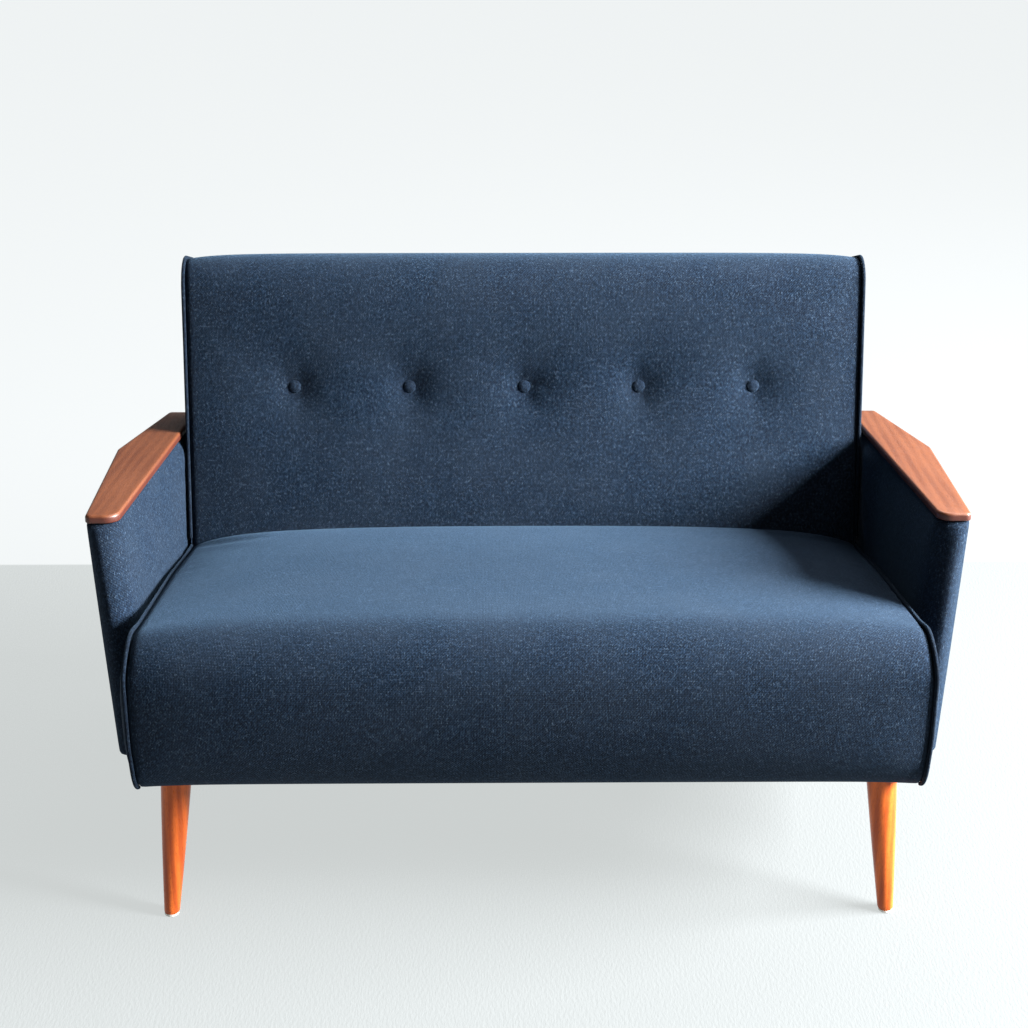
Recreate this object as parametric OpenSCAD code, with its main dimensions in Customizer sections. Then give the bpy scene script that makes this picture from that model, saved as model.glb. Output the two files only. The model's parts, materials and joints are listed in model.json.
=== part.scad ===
// Two-seat sofa: reclined buttoned back, fixed seat, padded side arms with wooden caps, tapered legs.
// Millimetres, +Z up, front towards -Y. Origin: on the floor, in the middle of the plan box.
// "Left" and "right" are as seen from in front of the sofa, so left is -X.
// The upholstered body is drawn level and then tilted back as one: in its own frame u runs from
// front to rear (along Y), w runs up (along Z), and w = 0 is the underside of the timber rails.

/* [Body] */
// Width between the two side seams of the seat and the back
body_w = 1110; // [1060:2:1130]
// Backward tilt of the whole upholstered body
tilt = 7; // [6:0.5:8]
// Height of the underside of the rails above the floor, at the origin of the body frame
base_z = 169; // [160:1:180]
// Thickness of the upholstery cloth with its lining
cloth = 2; // [1.5:0.1:2.5]
// Radius of the welt cord along the side seams
welt_r = 2.8; // [2:0.1:3.5]

/* [Seat] */
// Height of the seat where it meets the back, above the underside of the rails
seat_rear_w = 180; // [170:1:190]
// Radius of the rolled front edge of the seat
nose_r = 58; // [50:1:64]
// Height of the centre of that front roll
nose_w = 165; // [155:1:170]
// Distance from the frame's origin forward to the centre of that front roll
nose_u = 398; // [390:1:402]
// Radius of the turned-under lower front edge
toe_r = 44; // [38:1:48]
// Number of sinuous springs under the seat
spring_count = 9; // [7:1:9]
// Radius of the spring wire
wire_r = 1.9; // [1.6:0.1:2.2]
// Number of bends in each sinuous spring
bends = 16; // [12:2:18]

/* [Back] */
// Lean of the back's front face against the body's upright
lean = 8; // [6:0.5:9]
// Place of the back's front face along u, where it meets the seat
back_u = 125; // [120:1:130]
// Height of the top of the back above the underside of the rails
back_top = 640; // [625:1:655]
// Radius of the rolled top front edge of the back
roll_r = 38; // [32:1:42]
// Number of covered buttons in the row
button_count = 5; // [3:1:5]
// Distance between neighbouring buttons
button_pitch = 188; // [170:1:200]
// Height of the button row above the underside of the rails
button_w = 433; // [400:1:460]
// Radius of a covered button
button_r = 11; // [9:0.5:12]

/* [Arms] */
// Height of the wooden cap's upper face above the underside of the rails
cap_top = 360; // [350:1:370]
// Thickness of the wooden cap
cap_t = 12; // [10:0.5:14]
// Half the overall width of the sofa, at the widest point of the caps
cap_x = 649; // [645:1:655]
// How far the foot of the arm panel hangs below the rails
arm_drop = 12; // [0:1:16]

/* [Legs] */
// Radius of the leg where it meets its plate
leg_top_r = 22.5; // [20:0.5:24]
// Radius of the leg at the foot
leg_foot_r = 11; // [9:0.5:13]
// Half the distance between the feet across the sofa
foot_x = 522; // [515:1:530]
// Forward rake of the front feet, measured along the floor
front_rake = 47; // [30:1:55]
// Backward rake of the rear feet, measured along the floor
rear_rake = 30; // [20:1:40]
// Thickness of the nylon glide under each leg
glide_t = 4; // [3:0.5:5]

/* [Hidden] */
$fn = 48;
seam_x = body_w / 2;
board_t = 24;
rail_h = 100;
gap = 0.3;

// The seat's side outline: a toe arc, a nose arc and straight runs tangent to them
toe_c = [-404, toe_r - cloth];
nose_c = [-nose_u, nose_w];
seat_end = [back_u - 0.5, seat_rear_w];
span_c = nose_c - toe_c;
face_a = 180 + asin((nose_r - toe_r) / norm(span_c)) - atan(span_c.x / span_c.y);
end_v = seat_end - nose_c;
top_a = atan2(end_v.y, end_v.x) + acos(nose_r / norm(end_v));

// The timber frame
rail_u = -404;
post_x = seam_x - 29;
rear_rail_u = 230;
spring_rail_u = 88;
spring_rail_top = 84;
leg_x = 507;
front_leg_u = rail_u + 33;
rear_leg_u = rear_rail_u - 9;
plate_half = 29;
plate_t = 3;
screw_off = 23.5;
boss_r = 8.5;

// The back: front plane, rear plane and the plane that the webbing lies against
rear_foot_u = 262;
rear_top_u = 300;
pad_t = 58;
rear_r = 12;
top_fall = 14;
post_top = back_top - 27;
roll_c = [front_u(back_top - roll_r) + roll_r / cos(lean), back_top - roll_r];
rear_c = [rear_u(back_top - top_fall - rear_r) - rear_r, back_top - top_fall - rear_r];

// The arms: corners of the cap in plan as [x, u, corner radius], and the foot of the panel below it
cap_plan = [[cap_x - 66, -294, 22], [cap_x - 19, -294, 9], [cap_x, 52, 14],
            [cap_x - 44, 283, 8], [cap_x - 82, 283, 4]];
foot_plan = [[seam_x + 1.5, -300, 12], [seam_x + 49, -300, 10], [seam_x + 64, 48, 14],
             [seam_x + 46, 262, 8], [seam_x + 1.5, 262, 4]];
arm_top = cap_top - cap_t;
arm_rail_x = seam_x + 16;
arm_post_lean = 18;
arm_bolts = [[-238, 44], [-20, 44], [219, 210]];
cap_screws = [[600, -240], [606, 0], [590, 225]];

// The whole body is moved so that its plan box is centred on the origin
front_y = nose_c.x * cos(tilt) + nose_c.y * sin(tilt) - nose_r - 2 * welt_r;
rear_y = rear_c.x * cos(tilt) + rear_c.y * sin(tilt) + rear_r;
shift_y = -(front_y + rear_y) / 2;

// ---- geometry helpers ----

function arc(c, r, a0, a1, n = 10) =
    [for (i = [0 : n]) let (a = a0 + (a1 - a0) * i / n) c + r * [cos(a), sin(a)]];
function on_arc(c, r, a) = c + r * [cos(a), sin(a)];
function reversed(v) = [for (i = [len(v) - 1 : -1 : 0]) v[i]];
function front_u(w) = back_u + tan(lean) * (w - seat_rear_w);
function rear_u(w) = rear_foot_u + (rear_top_u - rear_foot_u) * w / 640;
function web_u(w) = front_u(w) + pad_t;

// Seat outline, set d inside the cloth's outer face, from under the toe round to the back
function seat_curve(d) = concat(
    arc(toe_c, toe_r - d, 270, face_a, 8),
    arc(nose_c, nose_r - d, face_a, top_a, 14),
    [seat_end - [0, d]]);

// Where the seat's front face lies at height w, set d inside the cloth's outer face
function face_u(w, d) = let (p = on_arc(toe_c, toe_r - d, face_a), q = on_arc(nose_c, nose_r - d, face_a))
    p.x + (q.x - p.x) * (w - p.y) / (q.y - p.y);

// Back outline, set d inside the cloth's outer face, from height w0 up the front and over the top
function back_curve(d, w0) = concat(
    [[front_u(w0) + d / cos(lean), w0]],
    arc(roll_c, roll_r - d, 180 - lean, 90, 10),
    arc(rear_c, rear_r - d, 80, 0, 5));

module body() {
    translate([0, shift_y, base_z]) rotate([-tilt, 0, 0]) children();
}

// Extrudes a (u, w) outline across the sofa from x0 to x1
module across(x0, x1) {
    translate([x0, 0, 0]) rotate([90, 0, 90]) linear_extrude(x1 - x0) children();
}

// Repeats a piece of the right-hand side on the left
module both_sides() {
    children();
    mirror([1, 0, 0]) children();
}

module bar_x(x0, x1, r, at) {
    translate([x0, at.x, at.y]) rotate([0, 90, 0]) cylinder(h = x1 - x0, r = r);
}

// ---- fixings ----

// The four leg places as [x side, u, rake in y]
leg_places = [[-1, front_leg_u, -front_rake], [1, front_leg_u, -front_rake],
              [-1, rear_leg_u, rear_rake], [1, rear_leg_u, rear_rake]];

function head_at(p) = [p[0] * leg_x, shift_y + p[1] * cos(tilt), base_z - p[1] * sin(tilt)];
function foot_at(p) = [p[0] * foot_x, head_at(p).y + p[2], 0];

// Places children on a leg's axis, with +Z pointing up the leg from the foot
module on_leg(p) {
    foot = foot_at(p);
    axis = head_at(p) - foot;
    translate(foot)
        rotate([0, acos(axis.z / norm(axis)), atan2(axis.y, axis.x)]) children();
}

function leg_length(p) = norm(head_at(p) - foot_at(p));

module plate_screw_places() {
    for (p = leg_places, dx = [-1, 1], du = [-1, 1])
        translate([p[0] * leg_x + dx * screw_off, p[1] + du * screw_off, 0]) children();
}

// Pilot holes for the plate screws and the pockets round the plates' bosses
module leg_fixing_cuts() {
    plate_screw_places() translate([0, 0, -1]) cylinder(h = 26, r = 2.05);
    for (p = leg_places)
        translate([p[0] * leg_x, p[1], -1]) cylinder(h = 31, r = boss_r + 1.5);
}

module arm_bolt_cuts(r = 4.3) {
    both_sides() for (b = arm_bolts) bar_x(post_x - 10, seam_x + 60, r, b);
}

// ---- seat frame and springing ----

module rail_box(x0, x1, u0, u1, w0, w1) {
    translate([x0, u0, w0]) cube([x1 - x0, u1 - u0, w1 - w0]);
}

module front_rail() {
    color("burlywood") body() difference() {
        rail_box(-seam_x + 5, seam_x - 5, rail_u, rail_u + board_t, 0, rail_h);
        leg_fixing_cuts();
    }
}

module rear_rail() {
    color("burlywood") body() difference() {
        rail_box(-post_x + gap, post_x - gap, rear_rail_u, rear_rail_u + board_t, 0, rail_h);
        leg_fixing_cuts();
    }
}

module side_rail() {
    color("burlywood") body() difference() {
        rail_box(post_x, post_x + board_t, rail_u + board_t + gap, web_u(0) - gap, 0, rail_h);
        leg_fixing_cuts();
        arm_bolt_cuts();
    }
}

module left_side_rail() { mirror([1, 0, 0]) side_rail(); }
module right_side_rail() { side_rail(); }

module centre_rail() {
    color("burlywood") body()
        rail_box(-12, 12, rail_u + board_t + gap, rear_rail_u - gap, 4, 38);
}

module spring_rail() {
    color("burlywood") body()
        rail_box(-post_x + gap, post_x - gap, spring_rail_u, spring_rail_u + board_t,
                 40, spring_rail_top);
}

// Triangular glued blocks in the four inner corners of the seat frame
module corner_blocks() {
    leg = 110;
    color("tan") body() both_sides() for (c = [[rail_u + board_t + gap, 1], [rear_rail_u - gap, -1]])
        difference() {
            linear_extrude(40) polygon([[post_x - gap, c[0]], [post_x - gap - leg, c[0]],
                                        [post_x - gap, c[0] + c[1] * leg]]);
            leg_fixing_cuts();
        }
}

spring_start = [rail_u + board_t / 2, rail_h + 3];
spring_end = [spring_rail_u + board_t / 2, spring_rail_top + 3];
spring_fall = atan2(spring_end.y - spring_start.y, spring_end.x - spring_start.x);
spring_len = norm(spring_end - spring_start);
function spring_x(i) = (i - (spring_count - 1) / 2) * 115;

// Centre line of a sinuous spring, set off sideways by d: bends on alternate sides, bars between
function sinuous_side(d) = let (pitch = spring_len / bends, r = pitch / 2, straight = 20)
    [for (i = [0 : bends - 1]) let (s = i % 2 == 0 ? 1 : -1)
        for (k = [0 : 6]) let (a = -90 + 30 * k)
            [s * (straight / 2 + (r + s * d) * cos(a)), (i + 0.5) * pitch + (r + s * d) * sin(a)]];

// One sinuous spring, from the bar in its front clip to the bar in its rear clip
module sinuous_spring() {
    end = 10;
    translate([0, 0, -wire_r]) linear_extrude(2 * wire_r)
        polygon(concat([[-end, -wire_r]], sinuous_side(wire_r),
                       [[end, spring_len - wire_r], [end, spring_len + wire_r]],
                       reversed(sinuous_side(-wire_r)), [[-end, wire_r]]));
}

module seat_springs() {
    color("dimgray") body() for (i = [0 : spring_count - 1])
        translate([spring_x(i), spring_start.x, spring_start.y]) rotate([spring_fall, 0, 0])
            sinuous_spring();
}

module spring_clips() {
    color("silver") body() for (i = [0 : spring_count - 1], at = [spring_start, spring_end])
        difference() {
            translate([spring_x(i) - 7, at.x - 7, at.y - 3 + gap / 3]) cube([14, 14, 6]);
            bar_x(spring_x(i) - 8, spring_x(i) + 8, wire_r + 0.15, at);
        }
}

// Height of the wires' centre line at u
function wire_w(u) = spring_start.y + (u - spring_start.x) * tan(spring_fall);

module seat_hessian() {
    over = wire_r + 0.4;
    u0 = rail_u + 1;
    u1 = spring_rail_u + board_t;
    color("peru") body() across(-post_x + 4, post_x - 4)
        polygon([[u0, wire_w(u0) + over + 1], [u1, wire_w(u1) + over + 1],
                 [u1, wire_w(u1) + over + 2], [u0, wire_w(u0) + over + 2]]);
}

// ---- seat upholstery ----

foam_w = wire_w(rail_u) + 6;
inner = cloth + 0.2;

module seat_foam() {
    rear = front_u(foam_w) - 1;
    body_top = seat_curve(inner);
    color("khaki") body() across(-seam_x + 2.5, seam_x - 2.5)
        polygon(concat([[face_u(foam_w, inner), foam_w]],
                       [for (p = body_top) if (p.y > foam_w) p],
                       [[front_u(seat_rear_w) - 1, seat_rear_w - inner - 0.5],
                        [rear, wire_w(rear) + 5.5], [toe_c.x, foam_w]]));
}

// The foam roll on the face of the front rail
module front_edge_roll() {
    color("khaki") body() across(-seam_x + 2.5, seam_x - 2.5)
        polygon(concat(arc(toe_c, toe_r - inner, 269, face_a, 8),
                       [[face_u(foam_w, inner), foam_w - gap], [rail_u - gap, foam_w - gap]]));
}

module seat_cover() {
    color("midnightblue") body() across(-seam_x + 2.2, seam_x - 2.2)
        polygon(concat(seat_curve(0), reversed(seat_curve(cloth))));
}

module seat_panel() {
    color("midnightblue") body() difference() {
        across(seam_x - cloth, seam_x)
            polygon(concat(seat_curve(0), [[front_u(0) - 0.5, 0], [toe_c.x, 0]]));
        arm_bolt_cuts(4.5);
    }
}

module left_seat_panel() { mirror([1, 0, 0]) seat_panel(); }
module right_seat_panel() { seat_panel(); }

module seat_piping() {
    color("darkslateblue") body() across(seam_x - 2 * welt_r, seam_x)
        polygon(concat(seat_curve(-2 * welt_r), reversed(seat_curve(-0.05))));
}

module left_seat_piping() { mirror([1, 0, 0]) seat_piping(); }
module right_seat_piping() { seat_piping(); }

// ---- back ----

module back_post() {
    color("burlywood") body() difference() {
        across(post_x, post_x + board_t)
            polygon([[web_u(0) + 0.5, 0], [rear_u(0) - 6, 0],
                     [rear_u(post_top) - 6, post_top], [web_u(post_top) + 0.5, post_top]]);
        leg_fixing_cuts();
        arm_bolt_cuts();
    }
}

module left_back_post() { mirror([1, 0, 0]) back_post(); }
module right_back_post() { back_post(); }

// A rail between the posts, lying along the lean of the back
module leaning_rail(w0, w1) {
    color("burlywood") body() across(-post_x + gap, post_x - gap)
        polygon([[web_u(w0) + 0.5, w0], [web_u(w0) + board_t, w0],
                 [web_u(w1) + board_t, w1], [web_u(w1) + 0.5, w1]]);
}

module back_top_rail() { leaning_rail(post_top - 70, post_top); }
module back_lower_rail() { leaning_rail(112, 172); }

// Places children on the back's front face at a button, with +Z pointing out of the face
module on_button(i) {
    x = (i - (button_count - 1) / 2) * button_pitch;
    translate([x, front_u(button_w), button_w]) rotate([90 - lean, 0, 0]) children();
}

module button_bores(r, depth = 90) {
    for (i = [0 : button_count - 1])
        on_button(i) translate([0, 0, -depth]) cylinder(h = depth + 5, r = r);
}

// A sheet that lies from t0 to t1 in front of the webbing plane
module back_sheet(x0, x1, w0, w1, t0, t1) {
    across(x0, x1) polygon([[web_u(w0) - t1, w0], [web_u(w0) - t0, w0],
                            [web_u(w1) - t0, w1], [web_u(w1) - t1, w1]]);
}

module back_webbing() {
    half = 25;
    color("sienna") body() difference() {
        union() {
            for (i = [0 : 6])
                let (x = (i - 3) * 150)
                    back_sheet(x - half, x + half, 120, post_top - 8, 2.6, 4.4);
            for (w = [215, 300, 385, 470])
                back_sheet(-seam_x + 6, seam_x - 6, w, w + 2 * half, 0.6, 2.4);
        }
        button_bores(1.4);
    }
}

module back_hessian() {
    color("peru") body() difference() {
        back_sheet(-seam_x + 6, seam_x - 6, 118, post_top - 4, 4.8, 5.8);
        button_bores(1.4);
    }
}

module back_foam() {
    w0 = 96;
    color("khaki") body() difference() {
        across(-seam_x + 2.5, seam_x - 2.5)
            polygon(concat([[front_u(w0) + inner, w0]],
                           arc(roll_c, roll_r - inner, 180 - lean, 90, 10),
                           [[web_u(back_top) - 6, back_top - inner], [web_u(w0) - 6, w0]]));
        button_bores(1.4);
        button_bores(button_r + 0.4, 9);
    }
}

// The thinner pad over the top rail
module back_top_pad() {
    w0 = post_top + 0.5;
    color("khaki") body() across(-seam_x + 2.5, seam_x - 2.5)
        polygon(concat([[web_u(back_top) - 5.6, w0], [web_u(back_top) - 5.6, back_top - inner - 0.4]],
                       arc(rear_c, rear_r - inner, 80, 0, 5),
                       [[rear_u(w0) - inner, w0]]));
}

module back_cover() {
    w0 = 96;
    color("midnightblue") body() difference() {
        across(-seam_x + 2.2, seam_x - 2.2)
            polygon(concat(back_curve(0, w0), reversed(back_curve(cloth, w0))));
        button_bores(button_r + 0.4, 9);
    }
}

module back_panel() {
    color("midnightblue") body() difference() {
        across(seam_x - cloth, seam_x)
            polygon(concat(back_curve(0, 0), [[rear_u(0), 0]]));
        arm_bolt_cuts(4.5);
    }
}

module left_back_panel() { mirror([1, 0, 0]) back_panel(); }
module right_back_panel() { back_panel(); }

module back_piping() {
    low = seat_rear_w + 8;
    color("darkslateblue") body() across(seam_x - 2 * welt_r, seam_x)
        polygon(concat(back_curve(-2 * welt_r, low), reversed(back_curve(-0.05, low))));
}

module left_back_piping() { mirror([1, 0, 0]) back_piping(); }
module right_back_piping() { back_piping(); }

module outside_back() {
    top = rear_c.y - 0.5;
    color("midnightblue") body() across(-seam_x + 2.5, seam_x - 2.5)
        polygon([[rear_u(0) - 4, 0], [rear_u(0), 0], [rear_u(top), top], [rear_u(top) - 4, top]]);
}

module back_buttons() {
    rim = 2.2;
    dome = 4;
    big = (button_r * button_r + dome * dome) / (2 * dome);
    color("midnightblue") body() for (i = [0 : button_count - 1])
        on_button(i) translate([0, 0, -7.2]) rotate_extrude()
            polygon(concat([[0, 0], [button_r - 1, 0], [button_r, rim / 2]],
                           [for (a = [asin(button_r / big) : -asin(button_r / big) / 8 : 0.01])
                                [big * sin(a), rim + dome - big + big * cos(a)]],
                           [[0, rim + dome]]));
}

module button_twines() {
    color("wheat") body() for (i = [0 : button_count - 1])
        on_button(i) translate([0, 0, -pad_t * cos(lean) - 2]) cylinder(h = 50, r = 0.9, $fn = 16);
}

module button_toggles() {
    color("wheat") body() for (i = [0 : button_count - 1])
        on_button(i) translate([-12, 0, -pad_t * cos(lean) - 5]) rotate([0, 90, 0])
            cylinder(h = 24, r = 2.6, $fn = 24);
}

// ---- arms ----

// A panel whose plan changes from foot_plan at the bottom to cap_plan at the top, inset by d and
// longer by over at both ends
module arm_block(d, over = 0) {
    skin = 0.1;
    hull() {
        for (c = cap_plan)
            translate([c[0], c[1], arm_top - 0.4 + over]) arm_corner(c, d, skin);
        for (c = foot_plan)
            translate([c[0], c[1], -arm_drop - over]) arm_corner(c, d, skin);
    }
}

// A corner disc that stays inside the plan corner it rounds; the inner side is the one nearer x = 0
module arm_corner(c, d, h) {
    inward = c[0] < seam_x + 35 ? 1 : -1;
    rearward = c[1] < -200 ? 1 : (c[1] > 200 ? -1 : 0);
    translate([inward * c[2], rearward * c[2], 0]) cylinder(h = h, r = c[2] - d, $fn = 32);
}

module arm_rail_plan(grow) {
    polygon([[cap_x - 56 - grow, -266 - grow], [cap_x - 32 + grow, -266 - grow],
             [cap_x - 16 + grow, 50], [cap_x - 54 + grow, 258 + grow],
             [cap_x - 76 - grow, 258 + grow]]);
}

rail_top = arm_top - 2.6;
rail_low = rail_top - 22;

module arm_foam() {
    color("khaki") body() difference() {
        arm_block(cloth + 0.2);
        arm_frame_boxes(0.5);
        translate([0, 0, rail_low - 0.5]) linear_extrude(60) arm_rail_plan(0.5);
        arm_bolt_cuts(4.6);
        for (b = arm_bolts) bar_x(arm_rail_x, arm_rail_x + board_t + 2.2, 9.4, b);
    }
}

module left_arm_foam() { mirror([1, 0, 0]) arm_foam(); }
module right_arm_foam() { arm_foam(); }

module arm_cover() {
    color("midnightblue") body() difference() {
        arm_block(0);
        arm_block(cloth, 1);
        arm_bolt_cuts(4.6);
    }
}

module left_arm_cover() { mirror([1, 0, 0]) arm_cover(); }
module right_arm_cover() { arm_cover(); }

// Front post, rear post and bottom rail of one arm, grown by g on every side; the front post leans out
module arm_frame_boxes(g) {
    x0 = arm_rail_x - g;
    x1 = arm_rail_x + board_t + g;
    translate([0, -222 + g, 0]) rotate([90, 0, 0]) linear_extrude(46 + 2 * g)
        polygon([[x0, 10 - g], [x1, 10 - g], [x1, 74], [x1 + arm_post_lean, rail_low],
                 [x0 + arm_post_lean, rail_low], [x0, 74]]);
    rail_box(x0, x1, 196 - g, 242 + g, 10 - g, rail_low);
    rail_box(x0, x1, -222 - g, 196 + g, 10 - g, 74 + g);
}

module arm_frame() {
    x1 = arm_rail_x + board_t;
    color("burlywood") body() difference() {
        arm_frame_boxes(0);
        arm_bolt_cuts();
        for (b = arm_bolts) bar_x(x1 - 9.2, x1 + 5, 5.3, b);
    }
}

module left_arm_frame() { mirror([1, 0, 0]) arm_frame(); }
module right_arm_frame() { arm_frame(); }

module cap_screw_places() {
    for (s = cap_screws) translate([s[0], s[1], 0]) children();
}

module arm_top_rail() {
    color("burlywood") body() difference() {
        translate([0, 0, rail_low]) linear_extrude(22) arm_rail_plan(0);
        cap_screw_places() {
            translate([0, 0, rail_low - 1]) cylinder(h = 30, r = 2.1);
            translate([0, 0, rail_low - 1]) cylinder(h = 8.2, r = 4.6);
        }
    }
}

module left_arm_top_rail() { mirror([1, 0, 0]) arm_top_rail(); }
module right_arm_top_rail() { arm_top_rail(); }

// One rounded corner of the cap's board: a disc with eased upper and lower edges
module cap_corner(c) {
    inward = c[0] < seam_x + 35 ? 1 : -1;
    rearward = c[1] < -200 ? 1 : (c[1] > 200 ? -1 : 0);
    upper = 4;
    lower = 2;
    translate([c[0] + inward * c[2], c[1] + rearward * c[2], arm_top])
        rotate_extrude($fn = 40)
            polygon(concat([[0, 0]],
                           arc([max(c[2] - lower, 0.1), lower], lower, -90, 0, 3),
                           arc([max(c[2] - upper, 0.1), cap_t - upper], min(upper, c[2]), 0, 90, 5),
                           [[0, cap_t]]));
}

module arm_cap() {
    color("sienna") body() difference() {
        hull() for (c = cap_plan) cap_corner(c);
        cap_screw_places() translate([0, 0, arm_top - 1]) cylinder(h = 9, r = 2);
    }
}

module left_arm_cap() { mirror([1, 0, 0]) arm_cap(); }
module right_arm_cap() { arm_cap(); }

module cap_screws() {
    head = rail_low + 4;
    color("goldenrod") body() both_sides() cap_screw_places() {
        translate([0, 0, head]) cylinder(h = 3, r = 4.2);
        translate([0, 0, head]) cylinder(h = arm_top + 7.5 - head, r = 1.95);
    }
}

module arm_bolts() {
    color("silver") body() both_sides() for (b = arm_bolts) {
        bar_x(post_x - 7.2, post_x - 1.8, 6.5, b);
        bar_x(post_x - 7.2, arm_rail_x + board_t + 1, 4, b);
    }
}

module arm_bolt_washers() {
    color("silver") body() both_sides() for (b = arm_bolts) difference() {
        bar_x(post_x - 1.7, post_x - 0.1, 10, b);
        bar_x(post_x - 3, post_x + 1, 4.2, b);
    }
}

module arm_tee_nuts() {
    x1 = arm_rail_x + board_t;
    color("silver") body() both_sides() for (b = arm_bolts) difference() {
        union() {
            bar_x(x1 - 9, x1 + 1.5, 5.2, b);
            bar_x(x1 + 0.1, x1 + 1.6, 9, b);
        }
        bar_x(x1 - 10, x1 + 3, 4.05, b);
    }
}

// ---- legs ----

module leg(p) {
    run = leg_length(p);
    grow = (leg_top_r - leg_foot_r) / run;
    color("chocolate") difference() {
        on_leg(p) rotate([0, 0, 200]) translate([0, 0, -10])
            cylinder(h = run + 30, r1 = leg_foot_r - 10 * grow, r2 = leg_top_r + 20 * grow);
        translate([p[0] * foot_x - 40, foot_at(p).y - 40, -40]) cube([80, 80, 40 + glide_t]);
        body() translate([p[0] * leg_x - 60, p[1] - 60, -plate_t - 0.2]) cube([120, 120, 80]);
        on_leg(p) translate([0, 0, run - 42]) cylinder(h = 60, r = 4.05);
        translate(foot_at(p)) cylinder(h = 24, r = 1.3);
    }
}

module front_left_leg() { mirror([1, 0, 0]) front_right_leg(); }
module front_right_leg() { leg(leg_places[1]); }
module rear_left_leg() { mirror([1, 0, 0]) rear_right_leg(); }
module rear_right_leg() { leg(leg_places[3]); }

// Steel plates with a threaded boss, let in between the rails and the legs
module leg_plates() {
    color("silver") for (p = leg_places) difference() {
        body() translate([p[0] * leg_x, p[1], -plate_t]) {
            translate([-plate_half, -plate_half, 0])
                cube([2 * plate_half, 2 * plate_half, plate_t - 0.1]);
            cylinder(h = plate_t + 10, r = boss_r);
        }
        on_leg(p) translate([0, 0, leg_length(p) - 30]) cylinder(h = 60, r = 4.1);
        body() plate_screw_places() translate([0, 0, -plate_t - 1]) cylinder(h = 6, r = 2.3);
    }
}

module hanger_bolts() {
    color("gray") for (p = leg_places)
        on_leg(p) translate([0, 0, leg_length(p) - 38]) cylinder(h = 56, r = 4);
}

module plate_screws() {
    color("silver") body() plate_screw_places() {
        translate([0, 0, -plate_t - 2.2]) cylinder(h = 2.1, r1 = 2.6, r2 = 4);
        translate([0, 0, -plate_t - 1]) cylinder(h = 24, r = 2);
    }
}

// Nail-on glides: a flat disc under the leg with a pin up into it
module leg_glides() {
    disc_r = leg_foot_r - 0.6;
    color("ivory") for (p = leg_places) translate(foot_at(p)) {
        rotate_extrude()
            polygon([[0, 0], [disc_r - 1, 0], [disc_r, 1], [disc_r, glide_t - 0.1],
                     [0, glide_t - 0.1]]);
        translate([0, 0, 1]) cylinder(h = 20, r = 1.2);
    }
}

// Black cambric under the seat, with a window for each leg plate
module dust_cover() {
    color("black") body() difference() {
        rail_box(-seam_x + 10, seam_x - 10, rail_u + 4, rear_u(0) - 8, -1.3, -0.2);
        for (p = leg_places)
            translate([p[0] * leg_x - plate_half - 1, p[1] - plate_half - 1, -3])
                cube([2 * plate_half + 2, 2 * plate_half + 2, 6]);
    }
}

front_rail();
rear_rail();
left_side_rail();
right_side_rail();
centre_rail();
spring_rail();
corner_blocks();
seat_springs();
spring_clips();
seat_hessian();
seat_foam();
front_edge_roll();
seat_cover();
left_seat_panel();
right_seat_panel();
left_seat_piping();
right_seat_piping();
left_back_post();
right_back_post();
back_top_rail();
back_lower_rail();
back_webbing();
back_hessian();
back_foam();
back_top_pad();
back_cover();
left_back_panel();
right_back_panel();
left_back_piping();
right_back_piping();
outside_back();
back_buttons();
button_twines();
button_toggles();
left_arm_frame();
right_arm_frame();
left_arm_top_rail();
right_arm_top_rail();
left_arm_foam();
right_arm_foam();
left_arm_cover();
right_arm_cover();
left_arm_cap();
right_arm_cap();
cap_screws();
arm_bolts();
arm_bolt_washers();
arm_tee_nuts();
front_left_leg();
front_right_leg();
rear_left_leg();
rear_right_leg();
leg_plates();
hanger_bolts();
plate_screws();
leg_glides();
dust_cover();
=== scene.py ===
import json
import math

import bmesh
import bpy
import numpy as np
from mathutils import Matrix, Vector

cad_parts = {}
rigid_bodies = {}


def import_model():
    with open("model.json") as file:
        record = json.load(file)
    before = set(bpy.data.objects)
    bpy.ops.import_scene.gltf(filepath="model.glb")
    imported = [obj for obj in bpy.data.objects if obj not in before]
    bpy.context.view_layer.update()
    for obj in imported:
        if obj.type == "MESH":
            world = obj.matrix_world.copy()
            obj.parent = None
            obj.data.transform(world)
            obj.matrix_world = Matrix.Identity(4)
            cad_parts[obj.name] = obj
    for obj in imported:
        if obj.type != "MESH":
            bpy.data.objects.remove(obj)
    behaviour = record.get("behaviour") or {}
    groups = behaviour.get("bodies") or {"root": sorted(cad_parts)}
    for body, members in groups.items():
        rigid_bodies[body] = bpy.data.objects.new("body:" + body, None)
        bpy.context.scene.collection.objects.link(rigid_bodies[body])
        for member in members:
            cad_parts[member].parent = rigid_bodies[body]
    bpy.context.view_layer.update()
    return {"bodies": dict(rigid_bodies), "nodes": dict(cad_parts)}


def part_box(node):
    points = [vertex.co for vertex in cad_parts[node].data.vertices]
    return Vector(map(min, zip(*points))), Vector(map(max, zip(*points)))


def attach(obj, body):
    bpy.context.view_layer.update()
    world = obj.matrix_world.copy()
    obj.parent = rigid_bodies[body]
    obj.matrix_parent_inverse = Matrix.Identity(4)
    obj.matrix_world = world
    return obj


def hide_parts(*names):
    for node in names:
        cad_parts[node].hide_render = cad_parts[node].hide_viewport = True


# Two-seat sofa. Metres, +Z up, the seat faces -Y.
# The upholstered body is drawn in (x, u, w), u to the rear and w up, then tilted back as one.
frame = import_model()
scene = bpy.context.scene

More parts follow.
